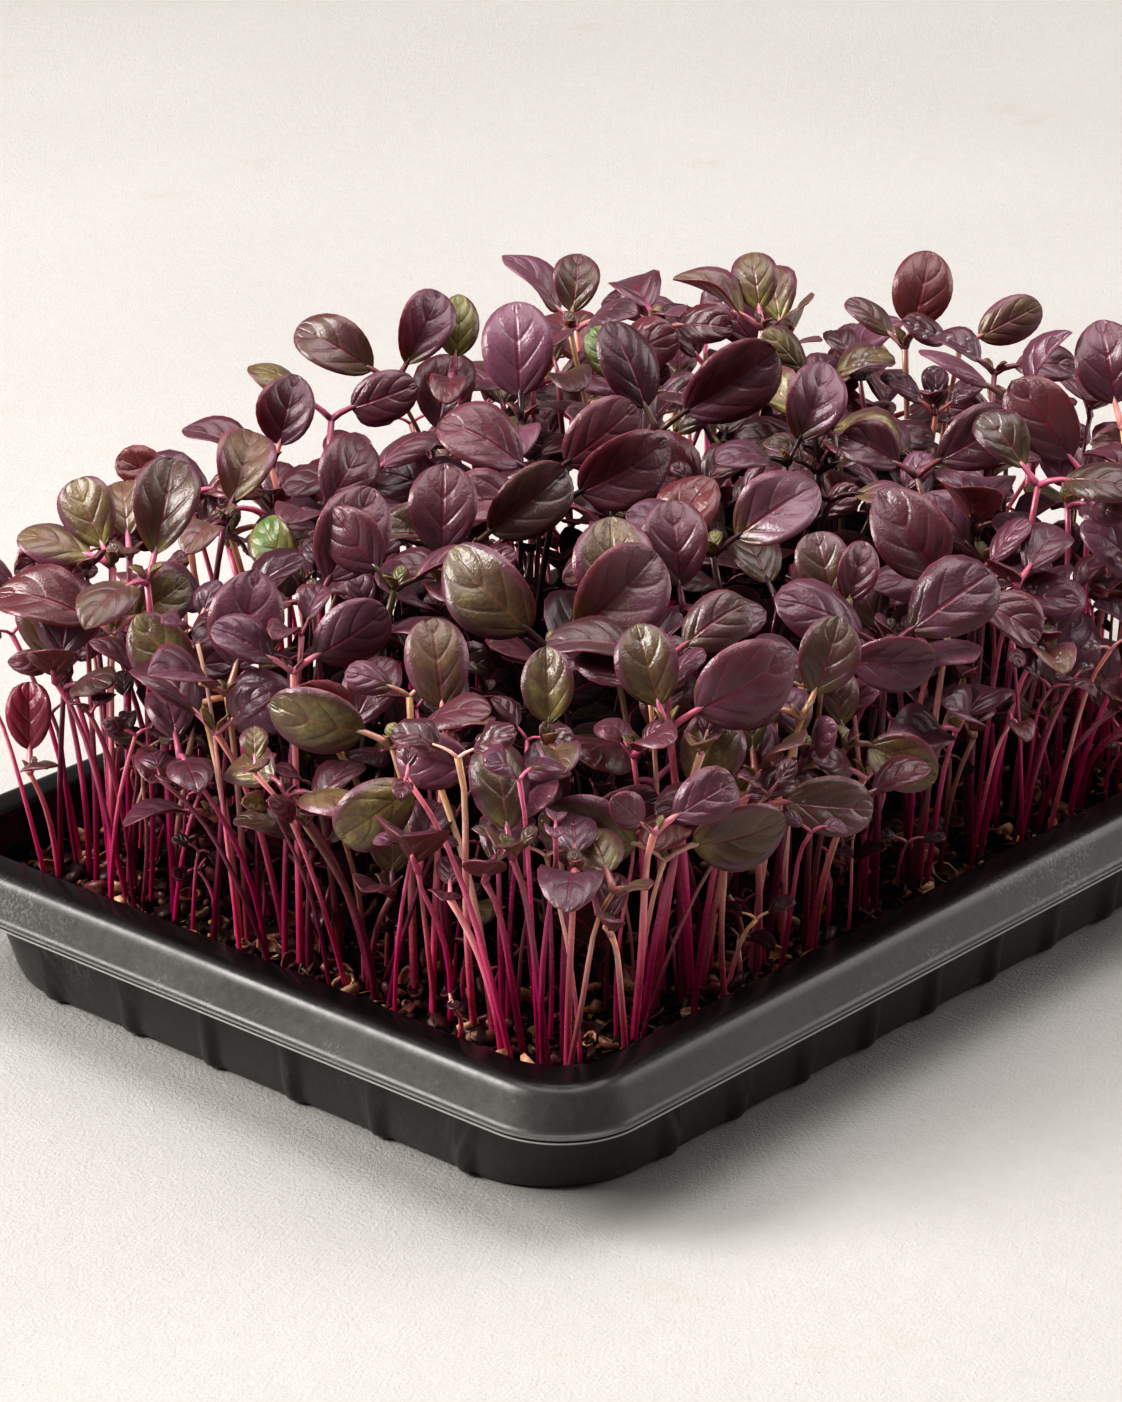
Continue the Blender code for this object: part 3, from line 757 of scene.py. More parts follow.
def stamp_seedling(bm, templates, plant, rng, dewy_leaves):
    """A whole fine seedling: stem, petioles and leaves. Adds to the list of leaves that carry water drops."""
    pale = plant["pale"]
    light = plant["light"]
    stem_light = plant["stem_light"]
    stem_chance = rng.random()
    swell = rng.uniform(0.0, 0.25)

    def stem_radius(share):
        return plant["thick"] * (1.08 - 0.3 * share + swell * smooth(0.9, 1.0, share))

    def stem_tint(share):
        return (share, pale, stem_chance, stem_light)

    stamp_tube(bm, templates["stem"], stem_line(plant), stem_radius, stem_tint)
    for pair in plant["pairs"]:
        for blade in pair:
            own_tone = plant["first_tone"] if blade is plant["pairs"][0][0] else plant["tone"]
            length = (blade["tip"] - blade["start"]).length
            thick = PETIOLE_RADII[length <= SMALL_BLADE_LENGTH] * plant["petiole"]
            stamp_tube(
                bm,
                templates["petiole"],
                petiole_line(blade),
                lambda share: thick * (1.15 - 0.4 * share),
                lambda share: (0.8 + 0.2 * share, pale * 0.7, stem_chance, stem_light),
            )
            middle = (blade["start"] + blade["tip"]) / 2
            tone = min(max(own_tone + rng.uniform(-0.035, 0.035), 0.0), 1.0)
            # Painted shade: a leaf deep in the stand gets a darker colour
            own_light = light * shade_at(middle) * rng.uniform(0.8, 1.2)
            kind = "listed_leaf" if plant["listed"] and length > SMALL_BLADE_LENGTH else "leaf"
            sizes = LISTED_LEAF_SIZES if plant["listed"] else LEAF_SIZES
            surface = stamp_leaf(bm, templates[kind], blade, rng, tone, own_light, plant["crumple"], sizes)
            if any((middle - Vector(dewy)).length < DEWY_REACH for dewy in DEWY_PLACES):
                dewy_leaves.append(surface)


def young_tip(bm, templates, plant, rng):
    """The pair of tiny upright leaves at the crown, greener than the rest."""
    if rng.random() > YOUNG_TIP_SHARE:
        return
    crown = plant["stem"][-1]
    heading = rng.uniform(0, 360)
    size = rng.uniform(1.8, 3.6)
    tone = rng.choice((TONES["brown"], TONES["olive"], TONES["lime"], TONES["lime"]))
    for turn in (0, 180):
        start = crown + heading_vector(heading + turn, 50) * 0.6
        along = heading_vector(heading + turn, rng.uniform(48, 74))
        facing = Vector((0, 0, 1)) - along * along.z
        blade = {"crown": crown, "start": start, "tip": start + along * size, "normal": facing.normalized()}
        stamp_leaf(bm, templates["young_leaf"], blade, rng, tone, rng.uniform(0.7, 1.1))


def water_drops(dewy_leaves, look):
    """Small clear drops on the upper side of a few leaves."""
    rng = random.Random(DROP_SEED)
    template = ball_template(2)
    bm = new_tinted_mesh()
    for surface in dewy_leaves:
        for _ in range(DROPS_ON_A_LEAF):
            spot = surface(Vector((rng.uniform(-0.75, 0.75), rng.uniform(0.15, 0.9), 0.0)))
            radius = rng.uniform(*DROP_SIZES)
            stamp(bm, template, lambda own: spot + own * radius, lambda own: DROP_TINT, no_uv, 0)
    growth_piece(bm, "water_drops", (look,))


def new_tinted_mesh():
    """An empty mesh whose points carry a tint of four numbers and whose faces carry a UV map."""
    bm = bmesh.new()
    bm.verts.layers.float_color.new("tint")
    bm.loops.layers.uv.verify()
    return bm


def pick_tone(rng):
    """A tone for a seedling that no list names."""
    draw = rng.random()
    for share, low, high in TONE_MIX:
        if draw < share:
            return rng.uniform(low, high)
        draw -= share
    return TONES["plum"]


def dress(plant, rng, listed=False):
    """A seedling's looks: how pale and thick its stem is and how its leaves are coloured."""
    plant["pale"] = rng.choice(PALENESS)
    plant["thick"] = rng.uniform(*THICKNESSES)
    plant["tone"] = pick_tone(rng)
    plant["first_tone"] = plant["tone"]
    plant["light"] = rng.uniform(*LEAF_LIGHTS)
    plant["petiole"] = 1.0
    plant["crumple"] = 0.0
    plant["listed"] = listed
    root = plant["stem"][0]
    # Painted shade darkens stems far from the walls; the draw from the stem lights is painted light on a few
    deep = smooth(*STEM_SHADE_DISTANCES, from_wall(root.x, root.y))
    plant["stem_light"] = (1 - STEM_SHADE * deep) * rng.choice(PAINTED_STEM_LIGHTS) * (1 + 0.1 * plant["pale"])
    crown = plant["stem"][-1]
    for name, places in TONED_CROWNS.items():
        if any((crown - Vector(toned)).length < TONED_REACH for toned in places):
            plant["first_tone"] = TONES[name]
            plant["light"] = TONED_LIGHT


def is_listed(plant):
    """Whether a seedling of the plan is one of those that the list names."""
    crown = plant["stem"][-1]
    return any((crown - Vector(given[0])).length < TONED_REACH for given in LISTED)


# The filling growth


def shrunk(rng, leaves, least, most):
    """The same leaves, each made shorter by a share between the two."""
    return [(turn, pitch, length * rng.uniform(least, most), faces) for turn, pitch, length, faces in leaves]


def full_growth(rng, attempt):
    """A seedling like those of the plan, a little lower and smaller."""
    x, y = random_foot(rng)
    crown, leaves = random_growth(rng, (x, y), attempt)
    crown.z -= rng.uniform(-5, 22 if from_wall(x, y) > BARE_BAND else 5)
    return (x, y), crown, shrunk(rng, leaves, 0.55, 0.95)


def edge_growth(rng, attempt):
    """A slender seedling close to a wall, most of them along the two near ones."""
    side = -1 if rng.random() < NEAR_WALL_SHARE else 1
    inwards = EDGE_BEYOND_FEET - rng.uniform(0, EDGE_BAND)
    if rng.random() < LONG_WALL_SHARE:
        x = rng.uniform(-FOOT_HALF_X, FOOT_HALF_X)
        y = side * (FOOT_HALF_Y + inwards)
    else:
        x = side * (FOOT_HALF_X + inwards)
        y = rng.uniform(-FOOT_HALF_Y, FOOT_HALF_Y)
    crown = Vector((x + rng.uniform(-13, 13), y + rng.uniform(-13, 13), rng.uniform(40, 62)))
    heading = rng.uniform(0, 360)
    size = rng.uniform(5, 9.5) * (1 - 0.02 * attempt)
    leaves = []
    for turn in (0, 180):
        pitch = rng.uniform(-25, 50)
        leaves.append((heading + turn, pitch, size * rng.uniform(0.85, 1.1), rng.uniform(0, 0.6)))
    return (x, y), crown, leaves


def low_growth(rng, attempt):
    """A stunted seedling under the stand, with small leaves; its looks give them painted shade."""
    x, y = random_foot(rng)
    height = BED_LEVEL + rng.uniform(6, 34)
    crown = Vector((x + rng.uniform(-4, 4), y + rng.uniform(-4, 4), height))
    heading = rng.uniform(0, 360)
    size = rng.uniform(4.5, 9.5) * (1 - 0.02 * attempt)
    if from_wall(x, y) < BARE_BAND:
        size *= 0.7
    leaves = []
    for turn in (0, 180):
        leaves.append((heading + turn, rng.uniform(-35, 40), size * rng.uniform(0.8, 1.1), 0.3))
    return (x, y), crown, leaves


def far_growth(rng, attempt):
    """A smaller seedling that closes the stand at the far end of the long near wall."""
    x = rng.uniform(FAR_END[0], FOOT_HALF_X)
    y = rng.uniform(-FOOT_HALF_Y, FAR_END[1])
    crown, leaves = random_growth(rng, (x, y), attempt)
    crown.z -= rng.uniform(2, 30)
    return (x, y), crown, shrunk(rng, leaves, 0.4, 0.75)


# (kind, how many are tried, how one grows)
GROWTH_KINDS = (
    ("full", 800, full_growth),
    ("edge", 240, edge_growth),
    ("low", 420, low_growth),
    ("far", 150, far_growth),
)


def dress_extra(plant, kind, rng):
    """The looks of a filling seedling: slender and crumpled at the edge, small, plum-toned and darkened by
    painted shade low down.
    """
    dress(plant, rng)
    plant["kind"] = kind
    if kind == "edge":
        plant["thick"] *= rng.uniform(0.6, 0.95)
        plant["petiole"] = 0.75
        plant["light"] *= 0.85
        plant["crumple"] = rng.choice((0.0, 0.08, 0.16))
    if kind == "low":
        plant["thick"] *= 0.65
        plant["petiole"] = 0.7
        plant["tone"] = rng.uniform(0.2, 0.36)
        plant["first_tone"] = plant["tone"]
        # Painted shade: leaves of stunted seedlings under the stand are darkened
        plant["light"] *= 0.4
        plant["crumple"] = rng.uniform(0.12, 0.32)


def extra_seedlings(placed):
    """The filling seedlings, each given up when it has found no room after a few tries."""
    rng = random.Random(EXTRA_SEED)
    extras = []
    for kind, count, growth in GROWTH_KINDS:
        for _ in range(count):
            for attempt in range(EXTRA_TRIES):
                foot, crown, leaves = growth(rng, attempt)
                plant = seedling(foot, rng.uniform(0, math.tau), EXTRA_FOOT_DEPTH, crown, leaves)
                if fits(plant, placed, None, *EXTRA_CLEARANCES):
                    place(plant, placed, NO_CLUMP)
                    dress_extra(plant, kind, rng)
                    extras.append(plant)
                    break
    return extras


def growth_piece(bm, name, looks):
    """A piece of leaves, stems or drops that rides the tray's body."""
    piece = finished(bm, name, looks)
    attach(piece, "root")
    return piece


def seedling_pieces(leaf_look, shaded_look, stem_look, drop_look):
    """A fine piece for each clump of the plan, the filling seedlings in a few pieces, and the drops."""
    templates = {
        "listed_leaf": leaf_template(*LISTED_LEAF_GRID),
        "leaf": leaf_template(*LEAF_GRID),
        "young_leaf": leaf_template(*YOUNG_LEAF_GRID),
        "stem": tube_template(*STEM_GRID),
        "petiole": tube_template(*PETIOLE_GRID),
    }
    looks = (leaf_look, stem_look, shaded_look)  # at LEAF_INDEX, STEM_INDEX and SHADED_INDEX
    sites, placed = plan_growth()
    rng = random.Random(LOOKS_SEED)
    for plant in placed:
        dress(plant, rng, listed=is_listed(plant))
    dewy_leaves = []
    for clump in range(len(sites)):
        bm = new_tinted_mesh()
        for plant in placed:
            if plant["clump"] == clump:
                stamp_seedling(bm, templates, plant, rng, dewy_leaves)
                young_tip(bm, templates, plant, rng)
        name = f"seedlings_{clump + 1:02d}"
        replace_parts(growth_piece(bm, f"fine_{name}", looks), name)
    extras = extra_seedlings(placed)
    for group in range(GROUPS):
        bm = new_tinted_mesh()
        for plant in extras[group::GROUPS]:
            stamp_seedling(bm, templates, plant, rng, dewy_leaves)
            if plant["kind"] == "full":
                young_tip(bm, templates, plant, rng)
        growth_piece(bm, f"filling_seedlings_{group + 1}", looks)
    water_drops(dewy_leaves, drop_look)


# The tray

TRAY_LENGTH = 187.0
TRAY_WIDTH = 137.0
RIM_TOP = 22.0
# The upright ribs of a wall: where the first stands, how many there are and how far apart
LONG_SIDE_RIBS = (-61.0, 9, 14.55)
SHORT_SIDE_RIBS = (-40.5, 6, 16.2)
RIB_FLAT = 0.35
RIB_FOOT = 2.1
RIB_HEIGHT = 1.3
TRAY_CORNER_STEPS = 16
TRAY_SIDE_STEP = 0.55
# (inset from the lip, height, corner radius, share of the rib's height there, share of dust there, whose grey
# is also painted reflection; above 1 it is a painted highlight on the lip)
FINE_TRAY_RINGS = (
    (14.4, 0.0, 13.6, 0.0, 0.2),
    (12.2, 0.02, 15.2, 0.0, 0.3),
    (11.4, 0.2, 15.9, 0.4, 0.5),
    (10.95, 0.6, 16.3, 0.65, 0.6),
    (10.7, 1.2, 16.4, 0.82, 0.7),
    (10.45, 2.2, 16.1, 0.95, 0.7),
    (10.1, 5.0, 15.2, 1.0, 0.7),
    (9.45, 10.0, 13.6, 1.0, 0.7),
    (8.75, 15.0, 12.0, 1.0, 0.7),
    (8.15, 19.2, 10.7, 0.9, 0.7),
    (7.95, 20.1, 10.5, 0.5, 0.6),
    (7.3, 20.6, 10.4, 0.0, 0.4),
    (5.2, 20.75, 10.5, 0.0, 0.3),
    (4.4, 20.3, 10.8, 0.0, 0.3),
    (3.8, 19.3, 11.1, 0.0, 0.3),
    (2.1, 16.05, 12.2, 0.0, 0.4),
    (1.7, 15.6, 12.4, 0.0, 0.5),
    (0.5, 15.38, 12.8, 0.0, 0.6),
    (0.08, 15.42, 13.0, 0.0, 0.9),
    # The lip: shares above 1 are a painted highlight, pale lines along the lip
    (0.0, 15.56, 13.0, 0.0, 1.7),
    (0.08, 15.7, 13.0, 0.0, 1.2),
    (0.4, 15.76, 12.8, 0.0, 0.0),
    (0.46, 15.86, 12.8, 0.0, 0.0),
    (0.16, 15.98, 12.9, 0.0, 1.4),
    (0.2, 16.14, 12.9, 0.0, 1.1),
    (0.5, 16.25, 12.7, 0.0, 0.7),
    (0.85, 16.4, 12.5, 0.0, 0.7),
    (1.08, 16.9, 12.4, 0.0, 0.8),
    (2.35, 19.8, 11.6, 0.0, 0.8),
    (2.6, 20.4, 11.4, 0.0, 0.8),
    (2.9, 21.0, 11.2, 0.0, 0.7),
    (3.25, 21.42, 11.0, 0.0, 0.55),
    (3.8, 21.78, 10.6, 0.0, 0.3),
    (4.5, 21.96, 10.2, 0.0, 0.08),
    (5.2, RIM_TOP, 10.0, 0.0, 0.0),
    (7.9, RIM_TOP, 9.7, 0.0, 0.0),
    (8.5, 21.9, 9.5, 0.0, 0.0),
    (8.95, 21.55, 9.3, 0.0, 0.0),
    (9.2, 20.9, 9.2, 0.0, 0.0),
    (9.6, 18.4, 10.2, 0.0, 0.0),
    (10.4, 13.5, 12.0, 0.0, 0.0),
    (12.0, 3.0, 15.0, 0.0, 0.0),
    (12.9, 1.5, 14.7, 0.0, 0.0),
    (14.8, 0.9, 13.4, 0.0, 0.0),
)


def rib_share(position, ribs):
    """How far the wall stands out at a place along a side, from 0 between ribs to 1 on a rib."""
    first, count, gap = ribs
    nearest = min(max(round((position - first) / gap), 0), count - 1)
    return 1 - smooth(RIB_FLAT, RIB_FOOT, abs(position - first - nearest * gap))


def fine_outline(inset, height, radius, rib):
    """A rounded rectangle with its ribs, counter-clockwise, with the same number of points on every ring."""
    half_x = TRAY_LENGTH / 2 - inset - radius
    half_y = TRAY_WIDTH / 2 - inset - radius
    points = []
    for corner, (sx, sy) in enumerate(((1, 1), (-1, 1), (-1, -1), (1, -1))):
        for step in range(TRAY_CORNER_STEPS + 1):
            turn = math.radians(90 * corner + 90 * step / TRAY_CORNER_STEPS)
            x = sx * half_x + radius * math.cos(turn)
            y = sy * half_y + radius * math.sin(turn)
            points.append(Vector((x, y, height)))
        on_long_side = corner % 2 == 0
        steps = int((TRAY_LENGTH if on_long_side else TRAY_WIDTH) / TRAY_SIDE_STEP)
        half = half_x if on_long_side else half_y
        ribs = LONG_SIDE_RIBS if on_long_side else SHORT_SIDE_RIBS
        start = points[-1].copy()
        for step in range(1, steps):
            travel = half * (1 - 2 * step / steps)
            place = sx * travel if on_long_side else sy * travel
            bulge = rib * RIB_HEIGHT * rib_share(place, ribs)
            if on_long_side:
                points.append(Vector((place, start.y + sy * bulge, height)))
            else:
                points.append(Vector((start.x + sx * bulge, place, height)))
    return points


def fine_tray(look):
    """The formed sheet: a ring of points, extruded from ring to ring round the rim to the floor."""
    outlines = [fine_outline(*ring) for *ring, _ in FINE_TRAY_RINGS]
    bm = new_tinted_mesh()
    tint_layer = bm.verts.layers.float_color["tint"]
    bmesh.ops.create_circle(bm, cap_ends=True, segments=len(outlines[0]), radius=TRAY_WIDTH / 2)
    bm.faces.ensure_lookup_table()
    order = [loop.vert for loop in bm.faces[0].loops]
    edges = bm.edges[:]
    for vert, point in zip(order, outlines[0]):
        vert.co = point
    for outline, (*_, ring_dust_and_highlight) in zip(outlines[1:], FINE_TRAY_RINGS[1:]):
        fresh, edges = extrude_ring(bm, edges)
        partner = {}
        for vert in fresh:
            for edge in vert.link_edges:
                other = edge.other_vert(vert)
                if other not in fresh:
                    partner[other] = vert
        order = [partner[vert] for vert in order]
        for vert, point in zip(order, outline):
            vert.co = point
            vert[tint_layer] = (ring_dust_and_highlight, 0.0, 0.0, 1.0)
    bmesh.ops.contextual_create(bm, geom=edges)
    bmesh.ops.recalc_face_normals(bm, faces=bm.faces)
    piece = finished(bm, "fine_tray", (look,))
    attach(piece, "root")
    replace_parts(piece, "tray")


# The bed

BED_STEP = 1.1
BED_EDGE_INSET = 10.55
BED_HALF_X = TRAY_LENGTH / 2 - BED_EDGE_INSET
BED_HALF_Y = TRAY_WIDTH / 2 - BED_EDGE_INSET
BED_CORNER_RADIUS = 11.9
# Broad lumps and fine ones: (how close together, layer of the noise, height)
BED_LUMPS = ((0.22, 3.1, 0.9), (0.7, 7.7, 0.45))
BED_UNDERSIDE = 2.0
BED_TAPER = 0.955
# How many small things of each kind are strewn over the bed
CRUMBS = 4600
FLAKES = 520
HUSKS = 520
FALLEN_BITS = 700
GRAINS = 160
# Farther in than this band along the edge, this share of the places is passed over
LITTER_EDGE_BAND = 16.0
LITTER_EDGE_SHARE = 0.62
LITTER_TILT = 0.9


def bed_surface(x, y):
    """The bed's height with its broad and fine lumps."""
    height = bed_height(x, y)
    for closeness, layer, relief in BED_LUMPS:
        height += noise.noise(Vector((closeness * x, closeness * y, layer))) * relief
    return height


def beyond_corner(x, y, margin=0.0):
    """How far a place lies past the centre of the bed's nearest corner, each way."""
    beyond_x = abs(x) - (BED_HALF_X - margin) + BED_CORNER_RADIUS
    beyond_y = abs(y) - (BED_HALF_Y - margin) + BED_CORNER_RADIUS
    return max(beyond_x, 0), max(beyond_y, 0)


def within_bed(x, y, margin):
    """Whether a place lies on the bed, a margin in from its edge."""
    return math.hypot(*beyond_corner(x, y, margin)) < BED_CORNER_RADIUS


def fine_bed(look):
    """The growing mix: a lumpy top over sloping sides."""
    columns = int(2 * BED_HALF_X / BED_STEP)
    rows = int(2 * BED_HALF_Y / BED_STEP)
    bm = bmesh.new()
    bmesh.ops.create_grid(bm, x_segments=columns, y_segments=rows, size=1)
    for vert in bm.verts:
        x = vert.co.x * BED_HALF_X
        y = vert.co.y * BED_HALF_Y
        beyond_x, beyond_y = beyond_corner(x, y)
        reach = math.hypot(beyond_x, beyond_y)
        if reach > BED_CORNER_RADIUS:
            pull = BED_CORNER_RADIUS / reach
            x = math.copysign(BED_HALF_X - BED_CORNER_RADIUS + beyond_x * pull, x) if beyond_x > 0 else x
            y = math.copysign(BED_HALF_Y - BED_CORNER_RADIUS + beyond_y * pull, y) if beyond_y > 0 else y
        vert.co = (x, y, bed_surface(x, y))
    sides, _ = extrude_ring(bm, [edge for edge in bm.edges if edge.is_boundary])
    for vert in sides:
        vert.co.x *= BED_TAPER
        vert.co.y *= BED_TAPER
        vert.co.z = BED_UNDERSIDE
    bmesh.ops.holes_fill(bm, edges=[edge for edge in bm.edges if edge.is_boundary], sides=0)
    bmesh.ops.recalc_face_normals(bm, faces=bm.faces)
    piece = finished(bm, "fine_growing_mix", (look,))
    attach(piece, "root")
    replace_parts(piece, "growing_mix")


def flake_template():
    """A thin crooked chip."""
    bm = bmesh.new()
    bmesh.ops.create_grid(bm, x_segments=2, y_segments=2, size=1)
    for vert in bm.verts:
        vert.co.x *= 1 + 0.6 * noise.noise(vert.co * 1.7)
        vert.co.z = 0.7 * noise.noise(vert.co * 1.3 + Vector((4.0, 1.0, 2.0)))
    bmesh.ops.solidify(bm, geom=bm.faces[:], thickness=0.35)
    return template_data(bm)


def husk_template():
    """Half a split seed coat: a small open boat with a thick wall."""
    bm = bmesh.new()
    bmesh.ops.create_uvsphere(bm, u_segments=8, v_segments=5, radius=1.0)
    everything = bm.verts[:] + bm.edges[:] + bm.faces[:]
    bmesh.ops.bisect_plane(bm, geom=everything, plane_co=(0, 0, 0.2), plane_no=(0, 0, 1), clear_outer=True)
    bmesh.ops.recalc_face_normals(bm, faces=bm.faces)
    bmesh.ops.solidify(bm, geom=bm.faces[:], thickness=0.16)
    return template_data(bm)


def litter_place(rng):
    """A place on the bed, often near one of its edges, where the bed shows."""
    while True:
        x = rng.uniform(-TRAY_LENGTH / 2, TRAY_LENGTH / 2)
        y = rng.uniform(-TRAY_WIDTH / 2, TRAY_WIDTH / 2)
        if not within_bed(x, y, 0.6):
            continue
        if within_bed(x, y, LITTER_EDGE_BAND) and rng.random() < LITTER_EDGE_SHARE:
            continue
        return x, y


def scatter(name, template, count, seed, size_of, lift, look, tint_of):
    """Small things strewn over the bed, each turned its own way."""
    rng = random.Random(seed)
    bm = new_tinted_mesh()
    for _ in range(count):
        x, y = litter_place(rng)
        size = size_of(rng)
        tilts = [rng.uniform(-LITTER_TILT, LITTER_TILT) for _ in range(2)]
        turn = Euler((*tilts, rng.uniform(0, math.tau))).to_matrix()
        centre = Vector((x, y, bed_surface(x, y) + lift * size.z))
        tint = tint_of(rng)

        def place_of(own):
            return centre + turn @ Vector((own.x * size.x, own.y * size.y, own.z * size.z))

        stamp(bm, template, place_of, lambda own: tint, no_uv, 0)
    piece = finished(bm, name, (look,))
    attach(piece, "root")


def bed_litter(crumb_look, husk_look):
    """Crumbs and flakes of the mix, fallen bits, and the husks and grains of the seed."""

    def crumb_size(rng):
        size = rng.uniform(0.35, 1.0) ** 1.5
        return Vector((size * rng.uniform(0.8, 1.6), size, size * rng.uniform(0.6, 1.0)))

    def crumb_tint(rng):
        warm = 1.0 if rng.random() < 0.07 else 0.0
        return (rng.random(), rng.uniform(0.5, 1.3), warm, rng.random())

    def flake_size(rng):
        size = rng.uniform(0.4, 1.1)
        return Vector((size, size * rng.uniform(0.5, 0.9), size * 0.5))

    def flake_tint(rng):
        return (rng.random(), rng.uniform(0.8, 1.4), 1.0, rng.random())

    def husk_size(rng):
        size = rng.uniform(0.85, 1.85)
        return Vector((1.5 * size, 0.95 * size, 0.85 * size))

    def fallen_size(rng):
        size = rng.uniform(0.8, 2.0)
        return Vector((size, size * rng.uniform(0.4, 0.8), size * 0.7))

    def fallen_tint(rng):
        return (rng.uniform(0.0, 0.3), rng.uniform(0.3, 0.9), 0.0, rng.random())

    def grain_size(rng):
        size = rng.uniform(0.5, 0.95)
        return Vector((1.4 * size, size, 0.9 * size))

    def husk_tint(rng):
        return (rng.random(), rng.uniform(1.0, 2.2), 0.0, rng.random())

    scatter("mix_crumbs", ball_template(1, 0.9), CRUMBS, 3, crumb_size, 0.35, crumb_look, crumb_tint)
    scatter("mix_flakes", flake_template(), FLAKES, 6, flake_size, 0.9, crumb_look, flake_tint)
    scatter("fallen_bits", flake_template(), FALLEN_BITS, 7, fallen_size, 0.9, husk_look, fallen_tint)
    scatter("seed_husks", husk_template(), HUSKS, 4, husk_size, 0.75, husk_look, husk_tint)
    scatter("seed_grains", ball_template(1, 0.3), GRAINS, 5, grain_size, 0.6, husk_look, husk_tint)


# Materials

# Colour scales as (place on the scale, colour)
LEAF_SCALE = [(place, colour) for _, place, colour in LEAF_TONES]
RED_STEM = (
    (0.0, (0.22, 0.004, 0.060)),
    (0.2, (0.36, 0.010, 0.120)),
    (0.45, (0.42, 0.040, 0.16)),
    (0.75, (0.47, 0.14, 0.235)),
    (1.0, (0.38, 0.105, 0.16)),
)
CREAM_STEM = (
    (0.0, (0.26, 0.010, 0.075)),
    (0.2, (0.45, 0.07, 0.15)),
    (0.42, (0.56, 0.25, 0.27)),
    (0.75, (0.70, 0.49, 0.38)),
    (1.0, (0.50, 0.32, 0.16)),
)
MOIST_MIX = ((0.3, (0.005, 0.003, 0.002)), (0.55, (0.018, 0.010, 0.006)), (0.75, (0.060, 0.030, 0.015)))
OCHRES = (
    (0.0, (0.42, 0.16, 0.03)),
    (0.45, (0.32, 0.11, 0.04)),
    (0.7, (0.48, 0.34, 0.10)),
    (1.0, (0.30, 0.22, 0.08)),
)
HUSK_SCALE = (
    (0.0, (0.06, 0.012, 0.018)),
    (0.2, (0.13, 0.035, 0.035)),
    (0.4, (0.26, 0.10, 0.08)),
    (0.75, (0.36, 0.19, 0.12)),
    (1.0, (0.42, 0.30, 0.18)),
)
# Single colours
VEIN_RED = (0.060, 0.008, 0.018)
RED_RIB, PALE_RIB = (0.20, 0.012, 0.04), (0.28, 0.16, 0.07)
RED_MARGIN, PALE_MARGIN = (0.36, 0.045, 0.11), (0.34, 0.14, 0.09)
RED_UNDERSIDE, GREEN_UNDERSIDE = (0.17, 0.055, 0.05), (0.22, 0.19, 0.08)
STEM_FIBRE = (0.16, 0.02, 0.04)
DIM_WATER, BRIGHT_WATER = (0.86, 0.84, 0.85), (0.95, 0.95, 0.96)
# The dust film's grey is real dust and also painted reflection of the bright room
CLEAN_BLACK, DUST_AND_REFLECTION_FILM = (0.006, 0.0058, 0.006), (0.104, 0.099, 0.094)
# The pale lip colour is a painted highlight
DUST_SPECK, PAINTED_LIP_HIGHLIGHT = (0.42, 0.41, 0.385), (0.40, 0.39, 0.375)
DARK_CRUMB, BROWN_CRUMB = (0.007, 0.0035, 0.002), (0.095, 0.040, 0.020)
HUSK_STAIN = (0.06, 0.02, 0.02)
DIM_PLASTER, BRIGHT_PLASTER = (0.483, 0.469, 0.454), (0.516, 0.502, 0.486)
SAND, FLOOR_STAIN, FLOOR_SPECK = (0.42, 0.40, 0.375), (0.40, 0.31, 0.25), (0.26, 0.20, 0.17)


